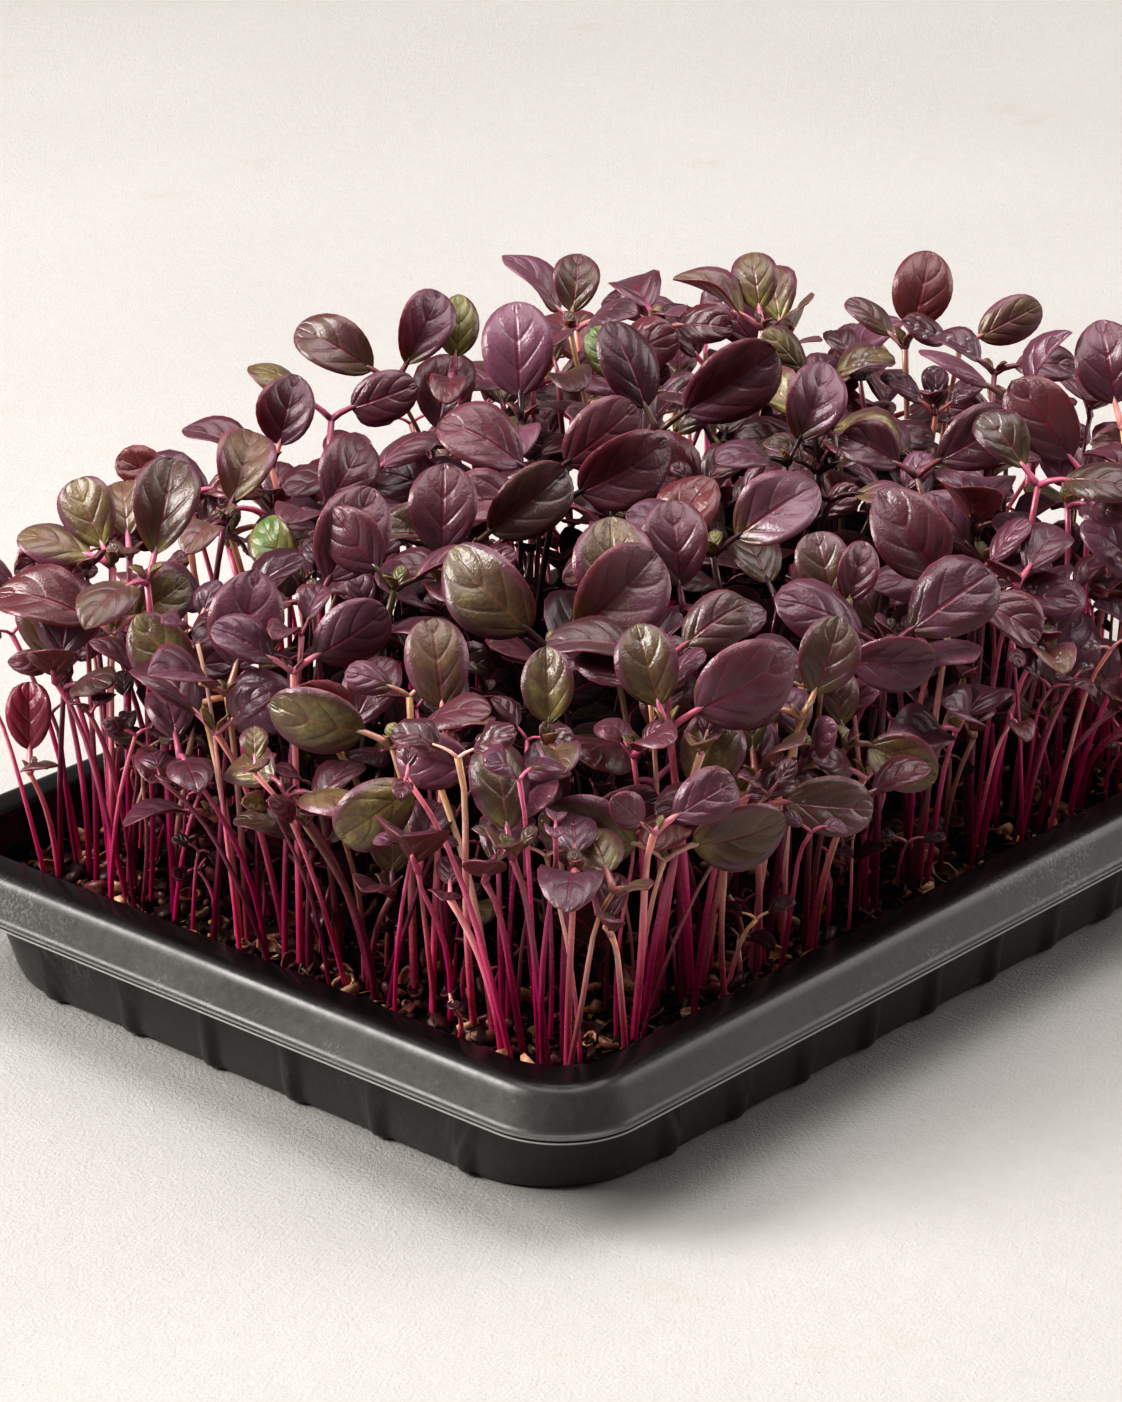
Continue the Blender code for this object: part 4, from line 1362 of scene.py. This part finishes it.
class Nodes:
    """Short ways to lay and link the nodes of one tree."""

    def __init__(self, tree):
        self.tree = tree

    def put(self, value, socket):
        if isinstance(value, bpy.types.NodeSocket):
            self.tree.links.new(value, socket)
        else:
            socket.default_value = value

    def math(self, operation, first, second=0.0, third=None):
        node = self.tree.nodes.new("ShaderNodeMath")
        node.operation = operation
        self.put(first, node.inputs[0])
        self.put(second, node.inputs[1])
        if third is not None:
            self.put(third, node.inputs[2])
        return node.outputs[0]

    def times(self, first, second):
        return self.math("MULTIPLY", first, second)

    def scaled(self, value, factor, shift):
        """A value times a factor, plus a shift."""
        return self.math("MULTIPLY_ADD", value, factor, shift)

    def ease(self, value, low, high, to_low=0.0, to_high=1.0):
        node = self.tree.nodes.new("ShaderNodeMapRange")
        node.interpolation_type = "SMOOTHSTEP"
        self.put(value, node.inputs["Value"])
        node.inputs["From Min"].default_value = low
        node.inputs["From Max"].default_value = high
        node.inputs["To Min"].default_value = to_low
        node.inputs["To Max"].default_value = to_high
        return node.outputs["Result"]

    def mix(self, share, first, second):
        node = self.tree.nodes.new("ShaderNodeMix")
        node.data_type = "RGBA"
        self.put(share, node.inputs["Factor"])
        for colour, end in ((first, "A"), (second, "B")):
            self.put(colour if isinstance(colour, bpy.types.NodeSocket) else (*colour, 1.0), node.inputs[end])
        return node.outputs["Result"]

    def ramp(self, value, stops):
        node = self.tree.nodes.new("ShaderNodeValToRGB")
        band = node.color_ramp
        while len(band.elements) < len(stops):
            band.elements.new(0.5)
        for element, (place, colour) in zip(band.elements, stops):
            element.position = place
            element.color = (*colour, 1.0)
        self.put(value, node.inputs["Fac"])
        return node.outputs["Color"]

    def noise(self, vector, scale, detail=3.0, roughness=0.55):
        node = self.tree.nodes.new("ShaderNodeTexNoise")
        self.put(vector, node.inputs["Vector"])
        self.put(scale, node.inputs["Scale"])
        node.inputs["Detail"].default_value = detail
        node.inputs["Roughness"].default_value = roughness
        return node.outputs["Fac"]

    def places(self):
        """Places on the piece itself, in metres."""
        return self.tree.nodes.new("ShaderNodeTexCoord").outputs["Object"]

    def bump(self, height, strength, distance):
        node = self.tree.nodes.new("ShaderNodeBump")
        self.put(height, node.inputs["Height"])
        node.inputs["Strength"].default_value = strength
        node.inputs["Distance"].default_value = distance
        return node.outputs["Normal"]

    def brightened(self, colour, light):
        node = self.tree.nodes.new("ShaderNodeHueSaturation")
        self.put(colour, node.inputs["Color"])
        self.put(light, node.inputs["Value"])
        return node.outputs["Color"]

    def stretched(self, places, scale):
        node = self.tree.nodes.new("ShaderNodeMapping")
        node.inputs["Scale"].default_value = scale
        self.put(places, node.inputs["Vector"])
        return node.outputs["Vector"]

    def shade(self, shader, inputs):
        """Links or sets the shader's inputs by their names."""
        for name, value in inputs.items():
            self.put(value, shader.inputs[name])

    def tint(self):
        """The piece's own tint attribute, as its four numbers."""
        node = self.tree.nodes.new("ShaderNodeAttribute")
        node.attribute_name = "tint"
        split = self.tree.nodes.new("ShaderNodeSeparateColor")
        self.put(node.outputs["Color"], split.inputs["Color"])
        return split.outputs["Red"], split.outputs["Green"], split.outputs["Blue"], node.outputs["Alpha"]


def new_material(name):
    """A new material, a way to lay its nodes, and its shader."""
    made = bpy.data.materials.new(name)
    made.use_nodes = True
    return made, Nodes(made.node_tree), made.node_tree.nodes["Principled BSDF"]


def mottle_group():
    """Soft spots at two scales, from 0 to 1, on Object coordinates."""
    tree = bpy.data.node_groups.new("mottle", "ShaderNodeTree")
    for name, usual in (("Coarse scale", 200.0), ("Fine scale", 1500.0), ("Fine share", 0.4)):
        socket = tree.interface.new_socket(name, in_out="INPUT", socket_type="NodeSocketFloat")
        socket.default_value = usual
    tree.interface.new_socket("Value", in_out="OUTPUT", socket_type="NodeSocketFloat")
    given = tree.nodes.new("NodeGroupInput").outputs
    result = tree.nodes.new("NodeGroupOutput").inputs["Value"]
    nodes = Nodes(tree)
    places = nodes.places()
    wide = nodes.noise(places, given["Coarse scale"], 2.0)
    close = nodes.noise(places, given["Fine scale"], 3.0)
    step = nodes.math("SUBTRACT", close, wide)
    tree.links.new(nodes.scaled(step, given["Fine share"], wide), result)
    return tree


def mottle(nodes, group, coarse, fine, share):
    """Lays the group of soft spots in a material, with its own scales."""
    node = nodes.tree.nodes.new("ShaderNodeGroup")
    node.node_tree = group
    node.inputs["Coarse scale"].default_value = coarse
    node.inputs["Fine scale"].default_value = fine
    node.inputs["Fine share"].default_value = share
    return node.outputs["Value"]


def leaf_material(group, name, specular):
    """The blade: coloured along one scale of tones, with sunk veins that sweep forward from the midrib."""
    made, nodes, shader = new_material(name)
    tone, light, under, chance = nodes.tint()
    uv = nodes.tree.nodes.new("ShaderNodeUVMap").outputs["UV"]
    split = nodes.tree.nodes.new("ShaderNodeSeparateXYZ")
    nodes.put(uv, split.inputs["Vector"])
    across, along = split.outputs["X"], split.outputs["Y"]
    from_rib = nodes.times(nodes.math("ABSOLUTE", nodes.math("SUBTRACT", across, 0.5)), 2.0)
    spots = mottle(nodes, group, 190.0, 1500.0, 0.35)
    grain = nodes.noise(nodes.places(), 3600.0, 2.0)

    bowed = nodes.math("POWER", from_rib, 1.4)
    swept = nodes.scaled(bowed, -VEIN_SWEEP, along)
    swept = nodes.scaled(spots, 0.05, swept)
    rows = nodes.scaled(swept, VEIN_PAIRS, chance)
    from_vein = nodes.math("PINGPONG", rows, 0.5)
    vein = nodes.times(nodes.ease(from_vein, 0.05, 0.0), nodes.ease(from_rib, 0.95, 0.4))
    rib = nodes.ease(from_rib, 0.085, 0.015)
    cells = nodes.tree.nodes.new("ShaderNodeTexVoronoi")
    cells.feature = "DISTANCE_TO_EDGE"
    nodes.put(nodes.stretched(uv, (14.0, 15.0, 1.0)), cells.inputs["Vector"])
    cells.inputs["Scale"].default_value = 1.0
    net = nodes.ease(cells.outputs["Distance"], 0.12, 0.0)

    blotch = nodes.scaled(nodes.ease(tone, 0.45, 0.65), 0.55, 0.26)
    drift = nodes.scaled(nodes.math("SUBTRACT", spots, 0.5), blotch, tone)
    at_base = nodes.times(nodes.ease(along, 0.34, 0.0), nodes.times(chance, 0.34))
    drift = nodes.math("ADD", drift, nodes.times(at_base, nodes.ease(tone, 0.15, 0.3)))
    at_edge = nodes.times(nodes.ease(from_rib, 0.55, 1.0), nodes.ease(tone, 0.5, 0.65, 0.0, 0.26))
    drift = nodes.math("SUBTRACT", drift, at_edge)
    # The light in the tint scales the colour: a random tone, with painted shade for leaves deep in and under
    # the stand
    colour = nodes.brightened(nodes.ramp(drift, LEAF_SCALE), light)
    colour = nodes.mix(nodes.times(vein, 0.28), colour, VEIN_RED)
    rib_strength = nodes.times(rib, nodes.ease(along, 1.0, 0.1, 0.1, 0.75))
    rib_colour = nodes.mix(nodes.ease(tone, 0.5, 0.8), RED_RIB, PALE_RIB)
    colour = nodes.mix(rib_strength, colour, rib_colour)
    colour = nodes.mix(nodes.times(net, 0.07), colour, rib_colour)
    margin = nodes.mix(nodes.ease(tone, 0.6, 0.9), RED_MARGIN, PALE_MARGIN)
    colour = nodes.mix(nodes.ease(from_rib, 0.965, 1.0, 0.0, 0.6), colour, margin)
    underside = nodes.mix(nodes.ease(tone, 0.45, 0.75), RED_UNDERSIDE, GREEN_UNDERSIDE)
    colour = nodes.mix(nodes.times(under, 0.6), colour, underside)
    satin = nodes.ease(spots, 0.25, 0.75, 0.27, 0.38)
    dull = nodes.ease(light, 0.5, 0.1, 0.0, 0.5)

    groove = nodes.times(nodes.ease(from_vein, 0.16, 0.0), nodes.ease(from_rib, 0.95, 0.3))
    pillow = nodes.times(nodes.ease(from_vein, 0.0, 0.5), nodes.ease(from_rib, 1.0, 0.5))
    height = nodes.scaled(groove, -0.5, nodes.times(spots, 1.2))
    height = nodes.scaled(pillow, 0.5, height)
    height = nodes.scaled(rib, -0.6, height)
    height = nodes.scaled(net, -0.05, height)
    height = nodes.scaled(grain, 0.2, height)
    looks = {
        "Base Color": colour,
        "Roughness": nodes.math("ADD", satin, dull),
        "Normal": nodes.bump(height, 0.42, 0.00048),
        "Specular IOR Level": specular,
        "Subsurface Weight": 0.16,
        "Subsurface Radius": (1.0, 0.22, 0.2),
        "Subsurface Scale": 0.0014,
        "Sheen Weight": 0.04,
        "Sheen Roughness": 0.45,
        "Sheen Tint": (0.9, 0.75, 0.85, 1.0),
    }
    nodes.shade(shader, looks)
    return made


def stem_material(group):
    """The stem: magenta at its foot, paler above, and from red to cream from one seedling to the next."""
    made, nodes, shader = new_material("basil_stem")
    height, pale, chance, light = nodes.tint()
    spots = mottle(nodes, group, 120.0, 1800.0, 0.3)
    rise = nodes.scaled(nodes.math("SUBTRACT", spots, 0.5), 0.35, height)
    rise = nodes.scaled(nodes.math("SUBTRACT", chance, 0.5), 0.25, rise)
    red = nodes.ramp(rise, RED_STEM)
    cream = nodes.ramp(rise, CREAM_STEM)
    # The light in the tint is painted light on a few stems and painted shade on those deep in the stand
    colour = nodes.brightened(nodes.mix(nodes.ease(pale, 0.1, 1.0), red, cream), light)
    fibre = nodes.noise(nodes.stretched(nodes.places(), (2600.0, 2600.0, 130.0)), 1.0, 2.0)
    colour = nodes.mix(nodes.ease(fibre, 0.55, 0.8, 0.0, 0.35), colour, STEM_FIBRE)
    looks = {
        "Base Color": colour,
        "Roughness": nodes.ease(spots, 0.2, 0.8, 0.22, 0.36),
        "Normal": nodes.bump(fibre, 0.2, 0.0002),
        "Specular IOR Level": 0.65,
        "Subsurface Weight": 0.35,
        "Subsurface Radius": (1.0, 0.25, 0.3),
        "Subsurface Scale": 0.0016,
    }
    nodes.shade(shader, looks)
    return made


def drop_material():
    """Clear water."""
    made, nodes, shader = new_material("water_drop")
    cloudy = nodes.noise(nodes.places(), 900.0, 2.0)
    colour = nodes.mix(cloudy, DIM_WATER, BRIGHT_WATER)
    nodes.shade(shader, {"Base Color": colour, "Roughness": 0.03, "IOR": 1.33, "Transmission Weight": 0.8})
    return made


def plastic_material(group):
    """Formed black sheet: glossy where it is clean, greyed where it is dusty, the grey standing in also for
    painted reflection, with a painted highlight as a pale line on its lip.
    """
    made, nodes, shader = new_material("formed_black_plastic")
    dust_and_highlight_share = nodes.tint()[0]
    places = nodes.places()
    cloud = mottle(nodes, group, 45.0, 700.0, 0.45)
    specks = nodes.noise(places, 2300.0, 3.0)
    dust_and_reflection = nodes.times(dust_and_highlight_share, nodes.ease(cloud, 0.25, 0.8, 0.55, 0.85))
    speckle = nodes.times(nodes.ease(specks, 0.46, 0.62), nodes.scaled(dust_and_reflection, 0.8, 0.02))
    patches = nodes.ease(nodes.noise(places, 38.0, 6.0, 0.75), 0.52, 0.64)
    speckle = nodes.times(speckle, nodes.scaled(patches, 0.42, 0.05))
    # Dust film: real dust, its grey raised also as painted reflection of the bright room
    colour = nodes.mix(dust_and_reflection, CLEAN_BLACK, DUST_AND_REFLECTION_FILM)
    colour = nodes.mix(speckle, colour, DUST_SPECK)
    # Painted highlight: a pale line where the lip rings carry shares above 1
    colour = nodes.mix(nodes.ease(dust_and_highlight_share, 1.0, 1.7, 0.0, 0.8), colour, PAINTED_LIP_HIGHLIGHT)
    dullness = nodes.scaled(dust_and_reflection, 0.42, nodes.ease(cloud, 0.3, 0.7, 0.14, 0.2))
    bumps = nodes.bump(nodes.scaled(specks, 0.12, cloud), 0.1, 0.0005)
    nodes.shade(shader, {"Base Color": colour, "Roughness": dullness, "Normal": bumps})
    return made


def mix_material(group):
    """Moist, nearly black growing mix."""
    made, nodes, shader = new_material("moist_mix")
    spots = mottle(nodes, group, 350.0, 1700.0, 0.6)
    bumps = nodes.bump(spots, 0.9, 0.0012)
    nodes.shade(shader, {"Base Color": nodes.ramp(spots, MOIST_MIX), "Roughness": 0.75, "Normal": bumps})
    nodes.shade(shader, {"Specular IOR Level": 0.2})
    return made


def crumb_material(group):
    """Crumbs of the mix, dark to mid brown, and flakes of a warm ochre."""
    made, nodes, shader = new_material("mix_crumb")
    draw, light, warm, _ = nodes.tint()
    spots = mottle(nodes, group, 700.0, 2500.0, 0.5)
    dark = nodes.times(nodes.times(draw, spots), light)
    colour = nodes.mix(dark, DARK_CRUMB, BROWN_CRUMB)
    ochre = nodes.ramp(draw, OCHRES)
    colour = nodes.mix(nodes.times(warm, nodes.ease(spots, 0.3, 0.6, 0.45, 1.0)), colour, ochre)
    dullness = nodes.ease(spots, 0.2, 0.8, 0.45, 0.85)
    bumps = nodes.bump(spots, 0.6, 0.0005)
    nodes.shade(shader, {"Base Color": colour, "Roughness": dullness, "Normal": bumps})
    nodes.shade(shader, {"Specular IOR Level": 0.25})
    return made


def husk_material(group):
    """Seed coats: pinkish brown to straw, stained darker in spots."""
    made, nodes, shader = new_material("seed_husk")
    draw, light, _, _ = nodes.tint()
    spots = mottle(nodes, group, 600.0, 2400.0, 0.5)
    colour = nodes.brightened(nodes.ramp(draw, HUSK_SCALE), light)
    colour = nodes.mix(nodes.ease(spots, 0.35, 0.75, 0.0, 0.6), colour, HUSK_STAIN)
    dullness = nodes.ease(spots, 0.2, 0.8, 0.3, 0.55)
    bumps = nodes.bump(spots, 0.4, 0.0004)
    nodes.shade(shader, {"Base Color": colour, "Roughness": dullness, "Normal": bumps})
    return made


def floor_material(group):
    """Pale plaster with a fine sandy grain, faint stains and a few dark specks."""
    made, nodes, shader = new_material("pale_floor")
    places = nodes.places()
    clouds = mottle(nodes, group, 7.0, 260.0, 0.35)
    colour = nodes.mix(nodes.ease(clouds, 0.3, 0.7), DIM_PLASTER, BRIGHT_PLASTER)
    sand = nodes.ease(nodes.noise(places, 900.0, 4.0, 0.7), 0.35, 0.7, 0.0, 0.14)
    stain = nodes.ease(nodes.noise(places, 30.0, 6.0, 0.7), 0.6, 0.78, 0.0, 0.25)
    specks = nodes.ease(nodes.noise(places, 420.0, 3.0, 0.6), 0.735, 0.78, 0.0, 0.5)
    for share, tinge in ((sand, SAND), (stain, FLOOR_STAIN), (specks, FLOOR_SPECK)):
        colour = nodes.mix(share, colour, tinge)
    grain = nodes.noise(places, 1700.0, 4.0, 0.75)
    pits = nodes.noise(places, 420.0, 5.0, 0.75)
    bumps = nodes.bump(nodes.scaled(pits, 0.8, grain), 0.55, 0.0007)
    nodes.shade(shader, {"Base Color": colour, "Roughness": 0.85, "Normal": bumps})
    return made


# The setting

FLOOR_HALF_SIZE = 6.0
FLOOR_DROP = 0.0001
WORLD_COLOUR = (1.0, 0.96, 0.92, 1.0)
WORLD_STRENGTH = 0.2
# (name, place, size, power, colour), in metres and watts
LAMPS = (
    ("window", (-0.85, 0.7, 0.8), 0.7, 19.0, (1.0, 0.98, 0.95)),
    ("ceiling", (0.1, 0.05, 1.5), 1.5, 17.0, (1.0, 0.985, 0.97)),
    ("room", (1.1, -0.7, 0.6), 1.0, 7.0, (1.0, 0.985, 0.97)),
)
LAMP_TARGET = (0, 0, 0.04)
CLIP_START = 0.02


def aimed(place, target):
    """The turn that points a lamp or a camera at its target."""
    return (Vector(target) - Vector(place)).to_track_quat("-Z", "Y").to_euler()


def lay_floor(look):
    """A wide floor, a hair below the tray's underside."""
    bm = bmesh.new()
    bmesh.ops.create_grid(bm, x_segments=1, y_segments=1, size=FLOOR_HALF_SIZE)
    bmesh.ops.translate(bm, vec=(0, 0, -FLOOR_DROP), verts=bm.verts)
    mesh = bpy.data.meshes.new("floor")
    bm.to_mesh(mesh)
    bm.free()
    mesh.materials.append(look)
    floor = bpy.data.objects.new("floor", mesh)
    bpy.context.scene.collection.objects.link(floor)


def soft_light(name, place, size, power, colour):
    """A round lamp that faces the tray."""
    lamp = bpy.data.lights.new(name, "AREA")
    lamp.shape = "DISK"
    lamp.size = size
    lamp.energy = power
    lamp.color = colour
    thing = bpy.data.objects.new(name, lamp)
    thing.location = place
    thing.rotation_euler = aimed(place, LAMP_TARGET)
    bpy.context.scene.collection.objects.link(thing)


def light_the_set():
    """A dim warm room, with a lamp on the left, one above and a weak one on the right."""
    world = bpy.data.worlds.new("soft_room")
    bpy.context.scene.world = world
    world.use_nodes = True
    sky = world.node_tree.nodes["Background"]
    sky.inputs["Color"].default_value = WORLD_COLOUR
    sky.inputs["Strength"].default_value = WORLD_STRENGTH
    bpy.context.scene.view_settings.view_transform = "Standard"
    bpy.context.scene.view_settings.look = "High Contrast"
    for lamp in LAMPS:
        soft_light(*lamp)


def set_camera():
    """A long lens, from the photograph's side."""
    lens = bpy.data.cameras.new("camera")
    lens.sensor_width = SENSOR_MM
    lens.lens = FOCAL_PIXELS / max(IMAGE_WIDTH, IMAGE_HEIGHT) * SENSOR_MM
    lens.clip_start = CLIP_START
    camera = bpy.data.objects.new("camera", lens)
    camera.location = CAMERA_PLACE
    camera.rotation_euler = aimed(CAMERA_PLACE, CAMERA_TARGET)
    bpy.context.scene.collection.objects.link(camera)
    bpy.context.scene.camera = camera


set_camera()
light_the_set()
MOTTLE = mottle_group()
lay_floor(floor_material(MOTTLE))
fine_tray(plastic_material(MOTTLE))
fine_bed(mix_material(MOTTLE))
bed_litter(crumb_material(MOTTLE), husk_material(MOTTLE))
seedling_pieces(
    leaf_material(MOTTLE, "basil_leaf", 0.72),
    # A copy of the leaf look with weak reflections, as painted shade for leaves deep in the stand
    leaf_material(MOTTLE, "shaded_basil_leaf", 0.12),
    stem_material(MOTTLE),
    drop_material(),
)
